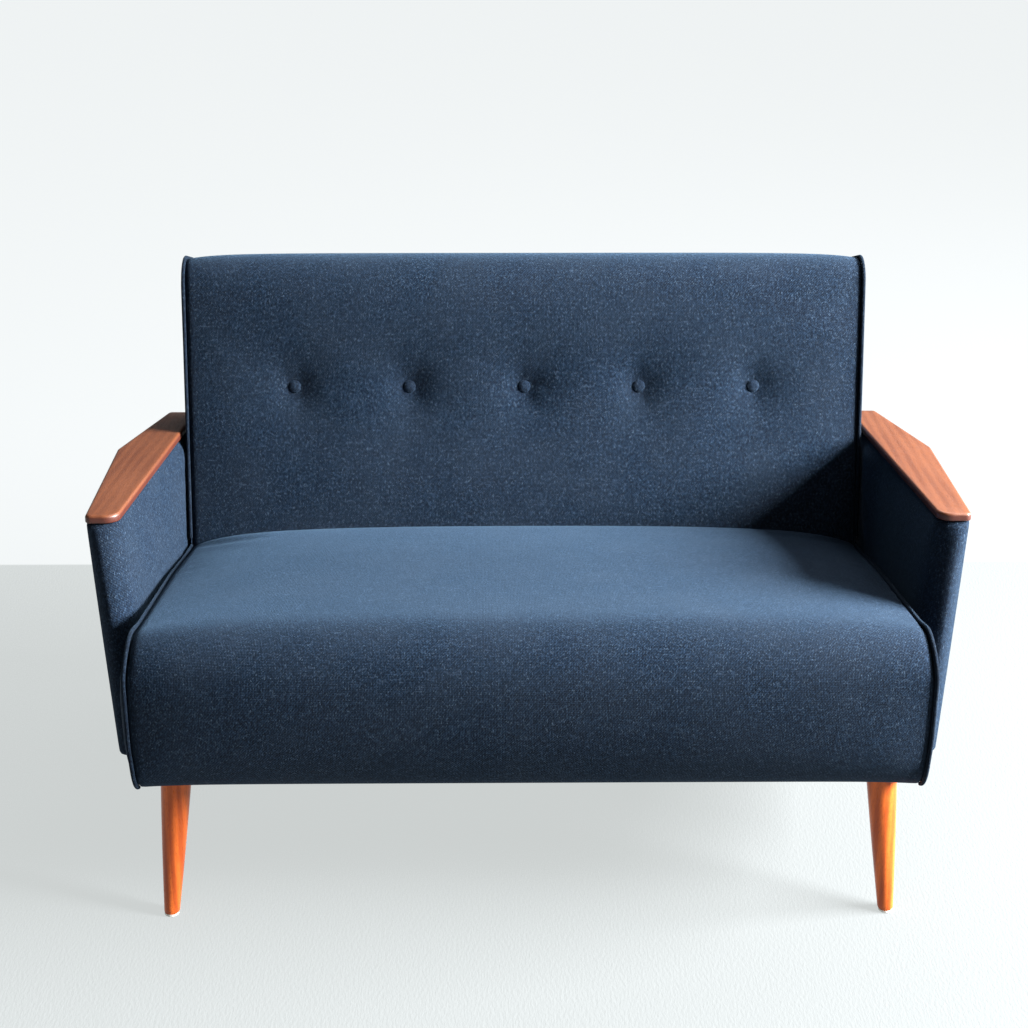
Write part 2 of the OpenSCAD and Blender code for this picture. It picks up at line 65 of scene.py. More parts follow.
bodyFrame = {"tiltDegrees": 7.0, "seamX": 0.555, "frontRailFaceU": -0.404, "frontRailRearU": -0.380}
tilt = math.radians(bodyFrame["tiltDegrees"])
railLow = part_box("front_rail")[0]
shiftY = railLow.y - bodyFrame["frontRailFaceU"] * math.cos(tilt)
baseZ = railLow.z + bodyFrame["frontRailRearU"] * math.sin(tilt)
seamX = bodyFrame["seamX"]


def placed(points):
    # body frame (x, u, w) to the shared frame
    p = np.asarray(points, float).reshape(-1, 3)
    return np.column_stack([p[:, 0],
                            shiftY + p[:, 1] * math.cos(tilt) + p[:, 2] * math.sin(tilt),
                            baseZ - p[:, 1] * math.sin(tilt) + p[:, 2] * math.cos(tilt)])


def unplaced(points):
    p = np.asarray(points, float).reshape(-1, 3)
    y, z = p[:, 1] - shiftY, p[:, 2] - baseZ
    return np.column_stack([p[:, 0],
                            y * math.cos(tilt) - z * math.sin(tilt),
                            y * math.sin(tilt) + z * math.cos(tilt)])


def smoothStep(low, high, value):
    t = np.clip((np.asarray(value, float) - low) / (high - low), 0, 1)
    return t * t * (3 - 2 * t)


def arc(centre, radius, start, end, steps):
    angles = np.radians(np.linspace(start, end, steps + 1))
    return np.column_stack([centre[0] + radius * np.cos(angles), centre[1] + radius * np.sin(angles)])


def lengthsAlong(points):
    return np.concatenate([[0], np.cumsum(np.linalg.norm(np.diff(points, axis=0), axis=1))])


def evenly(points, count):
    # a path with the same ends, divided evenly
    points = np.asarray(points, float)
    along = lengthsAlong(points)
    at = np.linspace(0, along[-1], count)
    return np.column_stack([np.interp(at, along, points[:, k]) for k in range(points.shape[1])])


class Field:
    # a node socket that takes part in Python arithmetic
    def __init__(self, finish, socket):
        self.finish = finish
        self.socket = socket

    def work(self, operation, other=None, turned=False):
        first, second = (other, self) if turned else (self, other)
        values = {0: first} if second is None else {0: first, 1: second}
        return self.finish.node("ShaderNodeMath", {"operation": operation}, values)

    def __add__(self, other):
        return self.work("ADD", other)

    def __radd__(self, other):
        return self.work("ADD", other)

    def __sub__(self, other):
        return self.work("SUBTRACT", other)

    def __rsub__(self, other):
        return self.work("SUBTRACT", other, True)

    def __mul__(self, other):
        return self.work("MULTIPLY", other)

    def __rmul__(self, other):
        return self.work("MULTIPLY", other)

    def sine(self):
        return self.work("SINE")

    def magnitude(self):
        return self.work("ABSOLUTE")


class Finish:
    # one material: a Principled shader and the nodes that feed it
    def __init__(self, name, fixed):
        self.material = bpy.data.materials.new(name)
        self.material.use_nodes = True
        self.tree = self.material.node_tree
        self.tree.nodes.clear()
        output = self.tree.nodes.new("ShaderNodeOutputMaterial")
        self.shader = self.tree.nodes.new("ShaderNodeBsdfPrincipled")
        self.tree.links.new(self.shader.outputs[0], output.inputs["Surface"])
        for socket, value in fixed.items():
            self.shader.inputs[socket].default_value = value

    def node(self, kind, settings, sockets, take=0):
        # settings are set first, then the sockets' values or links; take is the output handed back
        made = self.tree.nodes.new(kind)
        for key, value in settings.items():
            setattr(made, key, value)
        for key, value in sockets.items():
            self.feed(made.inputs[key], value)
        return Field(self, made.outputs[take])

    def feed(self, socket, value):
        if isinstance(value, Field):
            self.tree.links.new(value.socket, socket)
        elif isinstance(value, tuple) and len(value) == 3 and socket.type == "RGBA":
            socket.default_value = (*value, 1)
        else:
            socket.default_value = value

    def mix(self, amount, first, second):
        return self.node("ShaderNodeMix", {"data_type": "RGBA"}, {0: amount, 6: first, 7: second}, 2)

    def noise(self, vector, scale, detail=3.0, roughness=0.5):
        return self.node("ShaderNodeTexNoise", {}, {"Vector": vector, "Scale": scale,
                                                    "Detail": detail, "Roughness": roughness})

    def span(self, value, low, high, toLow=0.0, toHigh=1.0):
        return self.node("ShaderNodeMapRange", {"interpolation_type": "SMOOTHSTEP"},
                         {"Value": value, "From Min": low, "From Max": high,
                          "To Min": toLow, "To Max": toHigh})

    def stretched(self, vector, scale):
        return self.node("ShaderNodeMapping", {}, {"Vector": vector, "Scale": scale})

    def parts(self, vector):
        split = self.node("ShaderNodeSeparateXYZ", {}, {0: vector}).socket.node
        return [Field(self, s) for s in split.outputs]

    def objectPlace(self):
        return self.node("ShaderNodeTexCoord", {}, {}, 3)

    def flatPlace(self):
        return self.node("ShaderNodeUVMap", {"uv_map": "UVMap"}, {})

    def bump(self, height, distance, strength=1.0, under=None):
        sockets = {"Height": height, "Distance": distance, "Strength": strength}
        if under is not None:
            sockets["Normal"] = under
        return self.node("ShaderNodeBump", {}, sockets)

    def done(self, fed):
        for socket, value in fed.items():
            self.feed(self.shader.inputs[socket], value)
        return self.material


clothLook = {
    "deep": (0.0018, 0.0038, 0.0082),        # between the threads
    "thread": (0.0092, 0.0202, 0.0400),      # the navy yarn
    "raised": (0.0205, 0.0380, 0.0670),      # where the nap stands up
    "heather": (0.120, 0.172, 0.238),        # pale fibres spun into it
    "threadPitch": 0.0021,
    "sheenWeight": 0.10,
    "sheenTint": (0.36, 0.64, 1.0, 1.0),
    "sheenRoughness": 0.42,
    "gloss": 0.09,
    "melangeScale": 300.0,
    "fleckScale": 460.0,
    "fleckShare": 0.34,
    "slubScale": 240.0,
    "slubShare": 0.28,
}


def woolCloth(name, flat, paintedShadeBrightness=1.0):
    # twill weave with pale flecks; flat takes the piece's own map, otherwise object place; a last argument
    # below 1 darkens it as painted shade
    look = clothLook
    f = Finish(name, {"Sheen Weight": look["sheenWeight"] * paintedShadeBrightness, "Sheen Roughness": look["sheenRoughness"],
                      "Sheen Tint": look["sheenTint"], "Specular IOR Level": look["gloss"]})
    place = f.objectPlace()
    if flat:
        across, along, _ = f.parts(f.flatPlace())
    else:
        x, y, z = f.parts(place)
        across, along = x + y * 0.35, z + y * 0.8
    turn = 2 * math.pi / look["threadPitch"]
    warp = (across * (turn / 2)).sine().magnitude()
    weft = (along * (turn / 2)).sine().magnitude()
    over = f.span((across * (turn / 2) + along * (turn / 2)).sine(), -0.35, 0.35)
    thread = warp * over + weft * (1 - over)
    fuzz = f.noise(place, 1300.0, 2.0, 0.6)
    melange = f.noise(f.stretched(place, (1.0, 1.0, 0.7)), look["melangeScale"], 4.0, 0.72)
    flecks = f.noise(f.stretched(place, (1.0, 1.0, 0.55)), look["fleckScale"], 2.0, 0.6)
    flecks = f.span(flecks, 0.57, 0.71)
    slubs = f.noise(f.stretched(place, (0.35, 1.0, 1.0)), look["slubScale"], 3.0, 0.6)
    slubs = f.span(slubs, 0.58, 0.76)
    cloud = f.noise(place, 9.0, 4.0, 0.55)
    rub = f.noise(place, 42.0, 3.0, 0.6)
    base = f.mix(f.span(thread, 0.15, 0.95), look["deep"], look["thread"])
    base = f.mix(f.span(melange, 0.36, 0.60, 0.92, 0.0), base, look["deep"])
    base = f.mix(f.span(melange, 0.52, 0.74, 0.0, 0.75), base, look["raised"])
    base = f.mix(f.span(cloud, 0.30, 0.72, 0.0, 0.34), base, (0.0145, 0.0210, 0.0325))
    base = f.mix(f.span(rub, 0.35, 0.70, 0.0, 0.22), base, (0.0038, 0.0075, 0.0160))
    base = f.mix(flecks * look["fleckShare"] * f.span(fuzz, 0.35, 0.60), base, look["heather"])
    base = f.mix(slubs * look["slubShare"], base, (0.055, 0.082, 0.125))
    # painted shade: below 1 the colour is darkened towards black, as the sheen is lowered above
    base = f.mix(1 - paintedShadeBrightness, base, (0.0, 0.0, 0.0))
    lift = thread * 0.7 + fuzz * 0.55 + flecks * 0.3 + melange * 0.8
    normal = f.bump(lift, 0.00055, 0.9, f.bump(cloud * 0.8 + rub * 0.2, 0.0018, 0.4))
    return f.done({"Base Color": base, "Roughness": f.span(fuzz, 0.3, 0.7, 0.86, 0.98), "Normal": normal})


def figuredWood(name, look, edge=None):
    # straight-grained hardwood: long growth bands, fine pores and, when edge is given, a darker rim
    f = Finish(name, {"Coat Roughness": look["coatRoughness"], "Coat IOR": 1.5, "Coat Weight": look["coat"],
                      "Specular IOR Level": look["gloss"]})
    place = f.objectPlace()
    x, y, z = f.parts(place)
    wander = f.noise(f.stretched(place, look["longScale"]), 1.0, 3.0, 0.5)
    across = x * look["across"][0] + z * look["across"][1]
    rings = (across * look["ringRate"] + wander * look["wander"]).sine()
    broad = f.noise(f.stretched(place, tuple(s * 0.45 for s in look["longScale"])), 1.7, 4.0, 0.55)
    fine = f.noise(f.stretched(place, tuple(s * 6.0 for s in look["longScale"])), 2.0, 3.0, 0.6)
    pores = f.span(f.noise(f.stretched(place, look["poreScale"]), 1.0, 2.0, 0.5), 0.60, 0.72)
    base = f.mix(f.span(rings, -0.8, 0.9), look["dark"], look["light"])
    base = f.mix(f.span(broad, 0.30, 0.72, 0.0, 0.62), base, look["warm"])
    base = f.mix(f.span(fine, 0.40, 0.75, 0.0, 0.45), base, look["dark"])
    base = f.mix(pores * 0.55, base, look["pore"])
    if edge:
        # the sides of the cap, below its eased top edge, are coloured darker than the flat top
        level = (y - shiftY) * math.sin(tilt) + (z - baseZ) * math.cos(tilt)
        base = f.mix(f.span(level, edge["from"], edge["to"], edge["amount"], 0.0), base, edge["colour"])
    rough = f.span(fine, 0.3, 0.8, look["rough"][0], look["rough"][1])
    normal = f.bump(fine * 0.5 + pores * -0.8 + rings * 0.12, 0.00016, 0.6)
    return f.done({"Base Color": base, "Roughness": rough, "Normal": normal})


capWoodLook = {
    "dark": (0.098, 0.0265, 0.0098), "light": (0.135, 0.0395, 0.0145), "warm": (0.175, 0.056, 0.022),
    "pore": (0.045, 0.012, 0.005), "across": (1.0, 0.35),
    "ringRate": 420.0, "wander": 5.5, "longScale": (34.0, 2.2, 34.0), "poreScale": (900.0, 42.0, 900.0),
    "coat": 0.14, "coatRoughness": 0.30, "gloss": 0.45, "rough": (0.40, 0.55),
}
capEdgeLook = {"from": 0.3550, "to": 0.3592, "amount": 0.95, "colour": (0.062, 0.012, 0.006)}
legWoodLook = {
    "dark": (0.34, 0.046, 0.0060), "light": (0.60, 0.108, 0.0135), "warm": (0.68, 0.150, 0.022),
    "pore": (0.16, 0.026, 0.007), "across": (1.0, 0.0),
    "ringRate": 520.0, "wander": 4.0, "longScale": (42.0, 42.0, 3.2), "poreScale": (1000.0, 1000.0, 60.0),
    "coat": 0.16, "coatRoughness": 0.14, "gloss": 0.22, "rough": (0.26, 0.40),
}
timberLook = {
    "dark": (0.42, 0.26, 0.12), "light": (0.66, 0.47, 0.27), "warm": (0.72, 0.54, 0.33),
    "pore": (0.30, 0.17, 0.08), "across": (0.0, 1.0),
    "ringRate": 260.0, "wander": 6.0, "longScale": (2.0, 30.0, 30.0), "poreScale": (40.0, 700.0, 700.0),
    "coat": 0.0, "coatRoughness": 0.5, "gloss": 0.45, "rough": (0.62, 0.80),
}


def plainMetal(name, colour, rough, grime):
    f = Finish(name, {"Metallic": 1.0})
    place = f.objectPlace()
    brushed = f.noise(f.stretched(place, (40.0, 900.0, 900.0)), 1.0, 2.0, 0.6)
    stain = f.noise(place, 60.0, 4.0, 0.6)
    base = f.mix(f.span(stain, 0.42, 0.72, 0.0, 0.7), colour, grime)
    rough = f.span(stain, 0.3, 0.75, rough, rough + 0.22)
    return f.done({"Base Color": base, "Roughness": rough, "Normal": f.bump(brushed, 0.00005, 0.5)})


def openWeave(name, thread, hollow, pitch):
    # coarse plain weave in the piece's own plane, for hessian, webbing, twine and cambric
    f = Finish(name, {"Specular IOR Level": 0.15, "Sheen Weight": 0.1})
    place = f.objectPlace()
    x, y, z = f.parts(place)
    across, along = x, y + z
    turn = math.pi / pitch
    warp = (across * turn).sine().magnitude()
    weft = (along * turn).sine().magnitude()
    cell = warp * weft
    uneven = f.noise(place, 0.35 / pitch, 3.0, 0.6)
    base = f.mix(f.span(cell + uneven * 0.5, 0.30, 0.95), hollow, thread)
    base = f.mix(f.span(f.noise(place, 14.0, 3.0), 0.35, 0.75, 0.0, 0.3), base, hollow)
    return f.done({"Base Color": base, "Roughness": f.span(uneven, 0.3, 0.7, 0.8, 0.97),
                   "Normal": f.bump(cell + uneven * 0.4, pitch * 0.3, 0.8)})


def nylonFinish(name):
    f = Finish(name, {"Specular IOR Level": 0.4})
    place = f.objectPlace()
    scuff = f.noise(f.stretched(place, (500.0, 120.0, 500.0)), 1.0, 3.0, 0.6)
    base = f.mix(f.span(scuff, 0.45, 0.75, 0.0, 0.6), (0.76, 0.73, 0.66), (0.40, 0.37, 0.32))
    return f.done({"Base Color": base, "Roughness": f.span(scuff, 0.3, 0.8, 0.38, 0.66),
                   "Normal": f.bump(scuff, 0.0001, 0.5)})


navyCloth = woolCloth("navyWool", True)
# the same cloth with painted shade, darker and with less sheen, for the welts and the stitches
navyPaintedShadeTrim = woolCloth("navyWoolPaintedShadeTrim", False, 0.6)
capWood = figuredWood("oiledCapWood", capWoodLook, capEdgeLook)
legWood = figuredWood("lacqueredLegWood", legWoodLook)
timber = figuredWood("frameTimber", timberLook)
springSteel = plainMetal("springSteel", (0.16, 0.16, 0.17), 0.34, (0.07, 0.055, 0.045))
zincSteel = plainMetal("zincSteel", (0.56, 0.57, 0.59), 0.30, (0.36, 0.35, 0.33))
brassMetal = plainMetal("brassScrew", (0.72, 0.50, 0.20), 0.28, (0.40, 0.26, 0.10))
hessian = openWeave("hessian", (0.42, 0.29, 0.15), (0.16, 0.10, 0.045), 0.0022)
webbing = openWeave("webbing", (0.22, 0.135, 0.07), (0.07, 0.04, 0.02), 0.0014)
twine = openWeave("twine", (0.66, 0.58, 0.42), (0.36, 0.29, 0.18), 0.0008)
cambric = openWeave("blackCambric", (0.022, 0.022, 0.024), (0.006, 0.006, 0.007), 0.0009)
nylon = nylonFinish("nylonGlide")
print("materials ready")


def newObject(name, mesh, material=None):
    made = bpy.data.objects.new(name, mesh)
    scene.collection.objects.link(made)
    if material:
        mesh.materials.append(material)
    return made


def buildMesh(name, points, faces, flat=None, around=0.0, material=None):
    # flat holds a map place for each point; around is the map's width where it closes on itself
    mesh = bpy.data.meshes.new(name)
    mesh.from_pydata([tuple(map(float, p)) for p in points], [], [tuple(map(int, f)) for f in faces])
    if flat is not None:
        layer = mesh.uv_layers.new(name="UVMap")
        corners = np.empty(len(mesh.loops), int)
        mesh.loops.foreach_get("vertex_index", corners)
        places = np.asarray(flat, float)[corners]
        if around:
            for face in mesh.polygons:
                span = slice(face.loop_start, face.loop_start + face.loop_total)
                if np.ptp(places[span, 0]) > around / 2:
                    places[span, 0] += np.where(places[span, 0] < around / 2, around, 0)
        layer.data.foreach_set("uv", places.ravel())
    turned = bmesh.new()
    turned.from_mesh(mesh)
    bmesh.ops.recalc_face_normals(turned, faces=turned.faces)
    turned.to_mesh(mesh)
    turned.free()
    mesh.polygons.foreach_set("use_smooth", np.ones(len(mesh.polygons), bool))
    return newObject(name, mesh, material)


def applied(obj):
    # the object's modifiers made part of its mesh
    bpy.context.view_layer.update()
    mesh = bpy.data.meshes.new_from_object(obj.evaluated_get(bpy.context.evaluated_depsgraph_get()))
    obj.modifiers.clear()
    old, obj.data = obj.data, mesh
    bpy.data.meshes.remove(old)
    return obj


def subdivided(obj):
    level = obj.modifiers.new("smooth", "SUBSURF")
    level.levels = 1
    level.render_levels = 1
    level.uv_smooth = "PRESERVE_BOUNDARIES"
    applied(obj)


def pointsOf(obj):
    flat = np.empty(len(obj.data.vertices) * 3)
    obj.data.vertices.foreach_get("co", flat)
    return flat.reshape(-1, 3)


def setPoints(obj, points):
    obj.data.vertices.foreach_set("co", np.asarray(points, float).ravel())
    obj.data.update()


def swell(obj, held, look):
    # the cover is blown out by cloth simulation and settles at most look["cap"] from where it was
    start = pointsOf(obj)
    group = obj.vertex_groups.new(name="held")
    group.add([int(k) for k in np.nonzero(held)[0]], 1.0, "REPLACE")
    cloth = obj.modifiers.new("cover", "CLOTH")
    settings = cloth.settings
    settings.quality = 5
    settings.mass = 0.35
    settings.tension_stiffness = settings.compression_stiffness = look["stiffness"]
    settings.shear_stiffness = look["stiffness"] * 0.4
    settings.bending_stiffness = look["bending"]
    settings.tension_damping = settings.compression_damping = 8
    settings.use_pressure = True
    settings.uniform_pressure_force = look["pressure"]
    settings.vertex_group_mass = "held"
    settings.effector_weights.gravity = 0
    cloth.collision_settings.use_collision = False
    cloth.collision_settings.use_self_collision = False
    cloth.point_cache.frame_start, cloth.point_cache.frame_end = 1, look["frames"]
    for step in range(1, look["frames"] + 1):
        scene.frame_set(step)
    ended = obj.evaluated_get(bpy.context.evaluated_depsgraph_get()).to_mesh()
    flat = np.empty(len(ended.vertices) * 3)
    ended.vertices.foreach_get("co", flat)
    obj.modifiers.clear()
    obj.vertex_groups.clear()
    scene.frame_set(1)
    move = flat.reshape(-1, 3) - start
    reach = np.linalg.norm(move, axis=1, keepdims=True)
    print(f"  {obj.name}: cloth moved up to {reach.max() * 1000:.1f} mm")
    move *= look["cap"] * np.tanh(reach / look["cap"]) / np.maximum(reach, 1e-9)
    setPoints(obj, start + move)


def ringFaces(rows, size, first=0):
    # quads between closed rings of points, ring after ring
    faces = []
    for row in range(rows - 1):
        for n in range(size):
            a = first + row * size + n
            b = first + row * size + (n + 1) % size
            faces.append((a, b, b + size, a + size))
    return faces


def wrapMesh(name, outer, inner, xs, material):
    # a padded cover over a profile: outer and inner are matched (u, w) chains, drawn across the sofa
    rows, columns = len(outer), len(xs)
    points, flat = [], []
    along = lengthsAlong(outer)
    for chain in (outer, inner):
        for k, (u, w) in enumerate(chain):
            for x in xs:
                points.append((x, u, w))
                flat.append((x, along[k]))
    faces = []
    second = rows * columns
    for i in range(rows - 1):
        for j in range(columns - 1):
            a, b = i * columns + j, (i + 1) * columns + j
            faces.append((a, a + 1, b + 1, b))
            faces.append((second + a, second + b, second + b + 1, second + a + 1))
        for j in (0, columns - 1):
            a, b = i * columns + j, (i + 1) * columns + j
            faces.append((a, b, second + b, second + a) if j == 0 else (a, second + a, second + b, b))
    for i in (0, rows - 1):
        for j in range(columns - 1):
            a, b = i * columns + j, second + i * columns + j
            faces.append((a, b, b + 1, a + 1) if i == 0 else (a, a + 1, b + 1, b))
    made = buildMesh(name, placed(points), faces, flat, material=material)
    return made, np.array([(i, j, side) for side in (0, 1) for i in range(rows) for j in range(columns)])


def panelMesh(name, loop, spine, look, side, material):
    # a boxed side panel: rings from the seam loop in to a spine, bulging outwards, with a flat rear
    loop = np.asarray(loop, float)
    count = len(loop)
    a, b = map(np.asarray, spine)
    reach = np.clip(((loop - a) @ (b - a)) / ((b - a) @ (b - a)), 0, 1)
    centre = a + reach[:, None] * (b - a)
    steps = look["rings"]
    points, flat = [], []
    for layer in (1, 0):
        for s in steps:
            ring = centre + (loop - centre) * s
            rise = look["bulge"] * (1 - s ** look["roundness"]) if layer else -look["thickness"]
            for u, w in ring:
                points.append((side * (look["x"] + rise), u, w))
                flat.append((u, w))
    size = len(steps) * count
    faces = ringFaces(len(steps), count) + ringFaces(len(steps), count, size)
    for k in range(count):
        n = (k + 1) % count
        faces.append((k, n, size + n, size + k))
    made = buildMesh(name, placed(points), faces, flat, material=material)
    joined = bmesh.new()
    joined.from_mesh(made.data)
    bmesh.ops.remove_doubles(joined, verts=joined.verts, dist=0.0004)
    bmesh.ops.recalc_face_normals(joined, faces=joined.faces)
    joined.to_mesh(made.data)
    joined.free()
    return made


def newTree(name, inputs):
    # an empty node tree that takes and gives geometry, with its named inputs
    tree = bpy.data.node_groups.new(name, "GeometryNodeTree")
    tree.interface.new_socket("Geometry", in_out="OUTPUT", socket_type="NodeSocketGeometry")
    tree.interface.new_socket("Geometry", in_out="INPUT", socket_type="NodeSocketGeometry")
    for label, kind in inputs:
        tree.interface.new_socket(label, in_out="INPUT", socket_type=kind)
    return tree, tree.nodes.new("NodeGroupInput"), tree.nodes.new("NodeGroupOutput")


def addNode(tree, kind, links=(), **settings):
    made = tree.nodes.new(kind)
    for key, value in settings.items():
        setattr(made, key, value)
    for socket, source in links:
        if isinstance(source, bpy.types.NodeSocket):
            tree.links.new(source, made.inputs[socket])
        else:
            made.inputs[socket].default_value = source
    return made


def sweptCordTree():
    tree, given, result = newTree("sweptCord", [("Radius", "NodeSocketFloat"), ("Corners", "NodeSocketInt"),
                                                ("Cloth", "NodeSocketMaterial")])
    path = addNode(tree, "GeometryNodeMeshToCurve", [("Mesh", given.outputs["Geometry"])])
    ring = addNode(tree, "GeometryNodeCurvePrimitiveCircle", [("Resolution", given.outputs["Corners"]),
                                                              ("Radius", given.outputs["Radius"])])
    swept = addNode(tree, "GeometryNodeCurveToMesh", [("Curve", path.outputs[0]),
                                                      ("Profile Curve", ring.outputs[0]),
                                                      ("Fill Caps", True)])
    smooth = addNode(tree, "GeometryNodeSetShadeSmooth", [("Geometry", swept.outputs[0])])
    real = addNode(tree, "GeometryNodeRealizeInstances", [("Geometry", smooth.outputs[0])])
    finish = addNode(tree, "GeometryNodeSetMaterial", [("Geometry", real.outputs[0]),
                                                       ("Material", given.outputs["Cloth"])])
    tree.links.new(finish.outputs[0], result.inputs[0])
    return tree


def setInRowTree():
    tree, given, result = newTree("setInRow", [("Spacing", "NodeSocketFloat"), ("Piece", "NodeSocketObject"),
                                               ("Facing", "NodeSocketVector"), ("Wander", "NodeSocketFloat"),
                                               ("Finish", "NodeSocketMaterial"), ("Seed", "NodeSocketInt")])
    path = addNode(tree, "GeometryNodeMeshToCurve", [("Mesh", given.outputs["Geometry"])])
    spots = addNode(tree, "GeometryNodeCurveToPoints", [("Curve", path.outputs[0]),
                                                        ("Length", given.outputs["Spacing"])], mode="LENGTH")
    facing = addNode(tree, "FunctionNodeAlignRotationToVector",
                     [("Vector", given.outputs["Facing"])], axis="Z")
    along = addNode(tree, "FunctionNodeAlignRotationToVector",
                    [("Rotation", facing.outputs[0]), ("Vector", spots.outputs["Tangent"])],
                    axis="X", pivot_axis="Z")
    chance = addNode(tree, "FunctionNodeRandomValue",
                     [("Min", (-1, -1, -1)), ("Max", (1, 1, 1)), ("Seed", given.outputs["Seed"])],
                     data_type="FLOAT_VECTOR")
    drift = addNode(tree, "ShaderNodeVectorMath",
                    [(0, chance.outputs["Value"]), ("Scale", given.outputs["Wander"])], operation="SCALE")
    turned = addNode(tree, "FunctionNodeRotateRotation",
                     [("Rotation", along.outputs[0]), ("Rotate By", drift.outputs["Vector"])],
                     rotation_space="LOCAL")
    piece = addNode(tree, "GeometryNodeObjectInfo", [("Object", given.outputs["Piece"])])
    row = addNode(tree, "GeometryNodeInstanceOnPoints", [("Points", spots.outputs[0]),
                                                         ("Instance", piece.outputs["Geometry"]),
                                                         ("Rotation", turned.outputs[0])])
    real = addNode(tree, "GeometryNodeRealizeInstances", [("Geometry", row.outputs[0])])
    finish = addNode(tree, "GeometryNodeSetMaterial", [("Geometry", real.outputs[0]),
                                                       ("Material", given.outputs["Finish"])])
    tree.links.new(finish.outputs[0], result.inputs[0])
    return tree


def runTree(obj, tree, values):
    # runs a node tree on an object, with inputs set by their sockets' identifiers
    run = obj.modifiers.new(tree.name, "NODES")
    run.node_group = tree
    named = {s.name: s.identifier for s in tree.interface.items_tree if s.in_out == "INPUT"}
    for label, value in values.items():
        run[named[label]] = value
    return applied(obj)


def pathObject(name, paths):
    # paths is a list of lists of points in the shared frame
    points, edges = [], []
    for path in paths:
        first = len(points)
        points += [tuple(map(float, p)) for p in path]
        edges += [(k, k + 1) for k in range(first, len(points) - 1)]
    mesh = bpy.data.meshes.new(name)
    mesh.from_pydata(points, edges, [])
    return newObject(name, mesh)


sweptCord = sweptCordTree()
setInRow = setInRowTree()
bodyName = next(iter(frame["bodies"]))


def keep(obj, nodes=()):
    # the piece joins the sofa's body and stands for its plain CAD solids
    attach(obj, bodyName)
    if nodes:
        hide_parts(*nodes)


cameraLook = {"place": (-0.0518, -2.5916, 1.670), "yaw": 0.0126, "pitch": math.radians(24.96),
              "roll": 0.0024, "lens": 64.8}


def makeCamera(look):
    ahead = Vector((math.sin(look["yaw"]) * math.cos(look["pitch"]),
                    math.cos(look["yaw"]) * math.cos(look["pitch"]), -math.sin(look["pitch"])))
    right = Vector((math.cos(look["yaw"]), -math.sin(look["yaw"]), 0))
    up = right.cross(ahead)
    cosine, sine = math.cos(look["roll"]), math.sin(look["roll"])
    right, up = right * cosine + up * sine, up * cosine - right * sine
    camera = bpy.data.objects.new("camera", bpy.data.cameras.new("camera"))
    camera.data.sensor_width, camera.data.lens = 36.0, look["lens"]
    camera.data.clip_start, camera.data.clip_end = 0.05, 60.0
    turn = Matrix((right, up, -ahead)).transposed()
    camera.matrix_world = Matrix.Translation(look["place"]) @ turn.to_4x4()
    scene.collection.objects.link(camera)
    scene.camera = camera


makeCamera(cameraLook)

lightLook = {
    "window": {"place": (3.2, -0.50, 1.95), "aim": (0.0, 0.0, 0.4), "size": (1.9, 1.3), "power": 1300.0,
               "colour": (0.93, 0.97, 1.0)},
    "ceiling": {"place": (1.2, 1.7, 3.0), "aim": (0.0, 0.0, 0.3), "size": (3.0, 2.0), "power": 95.0,
                "colour": (0.93, 0.97, 1.0)},
    "front": {"place": (1.1, -1.6, 3.4), "aim": (0.0, 0.2, 0.5), "size": (2.2, 1.6), "power": 14.0,
              "colour": (1.0, 0.98, 0.96)},
}
roomLook = {"glow": 0.12, "glowColour": (0.93, 0.97, 1.0), "floor": (0.050, 0.0515, 0.0515),
            "floorGlow": (0.60, 0.63, 0.625), "beyond": (0.03, 0.03, 0.03),
            "beyondGlow": (0.85, 0.88, 0.885), "edgeY": 0.76, "reach": 30.0}


def makeLights():
    for name, look in lightLook.items():
        lamp = bpy.data.lights.new(name, "AREA")
        lamp.shape, (lamp.size, lamp.size_y) = "RECTANGLE", look["size"]
        lamp.energy, lamp.color = look["power"], look["colour"]
        holder = bpy.data.objects.new(name, lamp)
        holder.location = look["place"]
        aim = Vector(look["aim"]) - Vector(look["place"])
        holder.rotation_euler = aim.to_track_quat("-Z", "Y").to_euler()
        scene.collection.objects.link(holder)
    world = bpy.data.worlds.new("room")
    world.use_nodes = True
    sky = world.node_tree.nodes["Background"]
    sky.inputs["Color"].default_value = (*roomLook["glowColour"], 1)
    sky.inputs["Strength"].default_value = roomLook["glow"]
    scene.world = world


def makeFloor():
    f = Finish("paleFloor", {"Specular IOR Level": 0.1, "Emission Strength": 1.0})
    place = f.objectPlace()
    _, y, _ = f.parts(place)
    grain = f.noise(f.stretched(place, (260.0, 90.0, 90.0)), 1.0, 3.0, 0.6)
    patch = f.noise(place, 2.2, 3.0, 0.5)
    worn = tuple(c * 0.94 for c in roomLook["floor"])
    near = f.mix(f.span(patch, 0.3, 0.7, 0.0, 0.5), roomLook["floor"], worn)
    beyond = f.span(y, roomLook["edgeY"] - 0.004, roomLook["edgeY"] + 0.004)
    glow = f.mix(beyond, roomLook["floorGlow"], roomLook["beyondGlow"])
    material = f.done({"Base Color": f.mix(beyond, near, roomLook["beyond"]), "Emission Color": glow,
                       "Roughness": f.span(grain, 0.2, 0.8, 0.85, 1.0),
                       "Normal": f.bump(grain * (1 - beyond), 0.003, 0.45)})
    reach = roomLook["reach"]
    corners = [(-reach, -reach, 0), (reach, -reach, 0), (reach, reach, 0), (-reach, reach, 0)]
    floor = buildMesh("floor", corners, [(0, 1, 2, 3)], material=material)


makeLights()
makeFloor()
scene.view_settings.view_transform = "Standard"
print("camera, lights and floor ready")

